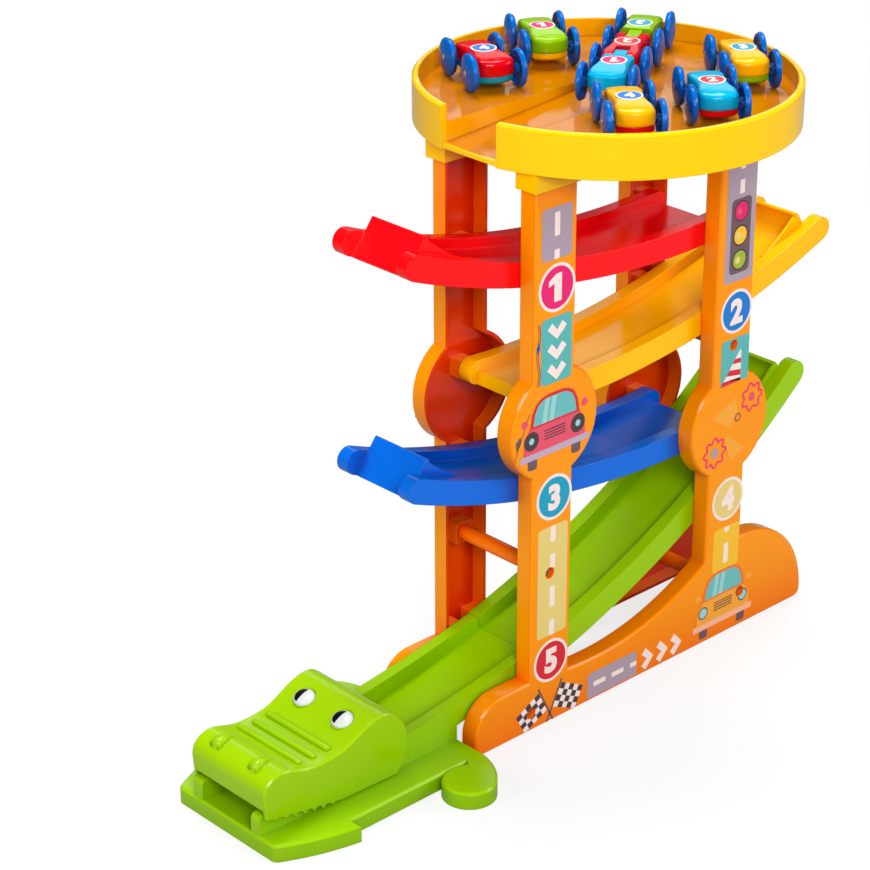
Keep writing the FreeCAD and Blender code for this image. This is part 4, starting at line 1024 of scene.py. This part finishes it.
def eye_dome(bm, place):
    """The white oval dome and the green collar that it sits in."""
    turns = [2 * math.pi * i / 48 for i in range(48)]

    def ring(along, across, level):
        spots = [Vector((along * math.cos(turn), across * math.sin(turn), level)) for turn in turns]
        return [bm.verts.new(place @ (spot * MM)) for spot in spots]

    def dome_ring(share):
        spots = [on_eye(eye_along * share * math.cos(turn), eye_across * share * math.sin(turn))
                 for turn in turns]
        return [bm.verts.new(place @ spot) for spot in spots]

    rings = [ring(eye_along, eye_across, -eye_sink)]
    rings += [dome_ring(math.cos(math.radians(tilt))) for tilt in (0, 12, 25, 40, 55, 70, 80)]
    for a, b in zip(rings, rings[1:]):
        join_rings(bm, a, b)
    close_ring(bm, rings[-1], bm.verts.new(place @ on_eye(0, 0)))
    bm.faces.new(rings[0])
    lip = (eye_along + 0.15, eye_across + 0.1)
    collar = [ring(eye_radius, eye_radius, -eye_sink), ring(eye_radius, eye_radius, 0.0),
              ring(*lip, 0.05), ring(*lip, -eye_sink)]
    for a, b in zip(collar, collar[1:] + collar[:1]):
        join_rings(bm, a, b, 1)


def pupil_patch(bm, place):
    """A half-moon of black enamel, its straight edge along the head."""
    steps = 20

    def row(share, lift):
        turns = [math.pi * i / steps for i in range(steps + 1)]
        spots = [on_eye(pupil_radius * share * math.cos(turn),
                        pupil_edge + pupil_radius * share * math.sin(turn), lift) for turn in turns]
        return [bm.verts.new(place @ spot) for spot in spots]

    borders = []
    for lift in (0.0, enamel):
        hub = bm.verts.new(place @ on_eye(0, pupil_edge, lift))
        rows = [row(share, lift) for share in (0.25, 0.5, 0.75, 0.92)] + [row(1.0, 0.4 * lift)]
        for i in range(steps):
            bm.faces.new([hub, rows[0][i], rows[0][i + 1]])
        for a, b in zip(rows, rows[1:]):
            for i in range(steps):
                bm.faces.new([a[i], a[i + 1], b[i + 1], b[i]])
        inner = rows[:-1]
        edge = [line[-1] for line in reversed(inner)] + [hub] + [line[0] for line in inner]
        borders.append(rows[-1] + edge)
    join_rings(bm, *borders)


def dress_head():
    """Round ridges, hooded nostrils and oval eyes over the plain CAD ones."""
    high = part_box("crocodile_head")[1]
    bpy.context.view_layer.update()
    head = nodes["crocodile_head"]

    def top(x, y):
        above = Vector((x * MM, y * MM, high[2] + 10 * MM))
        return head.ray_cast(above, Vector((0, 0, -1)))[1].z / MM

    bm = bmesh.new()
    snout_ridges(bm, top)
    for y in (-nostril_y, nostril_y):
        nostril(bm, top, y)
    snout = finished("snout_relief", bm, [plastics["head_plastic"]])
    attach(snout, "head")
    bm = bmesh.new()
    for side in (-1, 1):
        eye_dome(bm, eye_matrix(side))
    eyes = finished("eye_domes", bm, [plastics["eye_white"], plastics["head_plastic"]])
    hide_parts("crocodile_eyes")
    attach(eyes, "head")
    bm = bmesh.new()
    for side in (-1, 1):
        pupil_patch(bm, eye_matrix(side))
    pupils = finished("half_moon_pupils", bm, [plastics["pupil_black"]])
    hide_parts("crocodile_pupils")
    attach(pupils, "head")


# Floor, lamps and camera
def studio_floor():
    """A pale floor that shows white, and all white from a metre out, and keeps the toy's soft
    shadow. To other rays it is a mid grey, so that it lights the toy little from below."""
    material, tree = blank_material("studio_floor_white")
    place = add(tree, "ShaderNodeTexCoord").outputs["Object"]
    reach = add(tree, "ShaderNodeVectorMath", {0: place}, operation="LENGTH").outputs["Value"]
    seen = add(tree, "ShaderNodeLightPath").outputs["Is Camera Ray"]
    share = maths(tree, "MULTIPLY", seen, ranged(tree, reach, 0.45, 1.1, 0.75, 1.0))
    tone = mixed(tree, noise(tree, place, 3.0, 2.0), linear("fcfcfc"), linear("f8f8f8"))
    plain = add(tree, "ShaderNodeBsdfDiffuse", {"Color": mixed(tree, seen, linear("a8a8a8"), tone)})
    glow_and_painted_shade = add(tree, "ShaderNodeEmission", {"Color": (1, 1, 1, 1), "Strength": 1.0})
    both = add(tree, "ShaderNodeMixShader", {0: share, 1: plain.outputs[0], 2: glow_and_painted_shade.outputs[0]})
    add(tree, "ShaderNodeOutputMaterial", {"Surface": both.outputs[0]})
    bm = bmesh.new()
    bmesh.ops.create_grid(bm, x_segments=8, y_segments=8, size=8.0)
    floor = finished("studio_floor", bm, [material])


def studio_light():
    """Large soft lamps round the toy, and a world that is white only to the camera."""
    world = bpy.data.worlds.new("studio")
    bpy.context.scene.world = world
    world.use_nodes = True
    tree = world.node_tree
    tree.nodes.clear()
    path = add(tree, "ShaderNodeLightPath")
    soft = add(tree, "ShaderNodeBackground", {"Color": (1, 1, 1, 1), "Strength": 0.12})
    white = add(tree, "ShaderNodeBackground", {"Color": (1, 1, 1, 1), "Strength": 1.0})
    both = add(tree, "ShaderNodeMixShader",
               {0: path.outputs["Is Camera Ray"], 1: soft.outputs[0], 2: white.outputs[0]})
    add(tree, "ShaderNodeOutputWorld", {"Surface": both.outputs[0]})
    target = Vector((-0.02, 0, 0.14))
    for name, place, size, power in (
        ("key", (-1.0, -1.5, 1.2), (0.9, 0.8), 31.0),
        ("side", (-1.7, 0.3, 0.8), (0.8, 0.8), 12.0),
        ("right", (1.2, -1.2, 0.9), (0.8, 0.8), 12.0),
        ("top", (0.3, 0.4, 1.7), (1.0, 0.7), 22.0),
        ("back", (1.0, 1.05, 0.95), (0.9, 0.35), 1.2),
    ):
        lamp = bpy.data.lights.new(name, "AREA")
        lamp.shape = "RECTANGLE"
        lamp.size, lamp.size_y = size
        lamp.energy = power
        holder = bpy.data.objects.new(name, lamp)
        holder.location = place
        holder.rotation_euler = (target - Vector(place)).to_track_quat("-Z", "Y").to_euler()
        bpy.context.scene.collection.objects.link(holder)


def camera():
    """The photograph's viewpoint, solved from the toy's straight edges."""
    lens = bpy.data.cameras.new("camera")
    lens.lens = 108.71
    lens.sensor_width = 36.0
    lens.shift_x = -0.0284
    lens.clip_start = 0.05
    lens.clip_end = 30.0
    holder = bpy.data.objects.new("camera", lens)
    holder.location = (-0.83161, -0.830, 0.69507)
    holder.rotation_euler = (math.radians(90 - 25.19), 0, math.radians(-43.44))
    bpy.context.scene.collection.objects.link(holder)
    bpy.context.scene.camera = holder


bpy.context.scene.view_settings.view_transform = "Standard"
camera()
studio_floor()
studio_light()
dress_cad_nodes()
dress_head()
dress_cars()
dress_frames()
frame_screws()
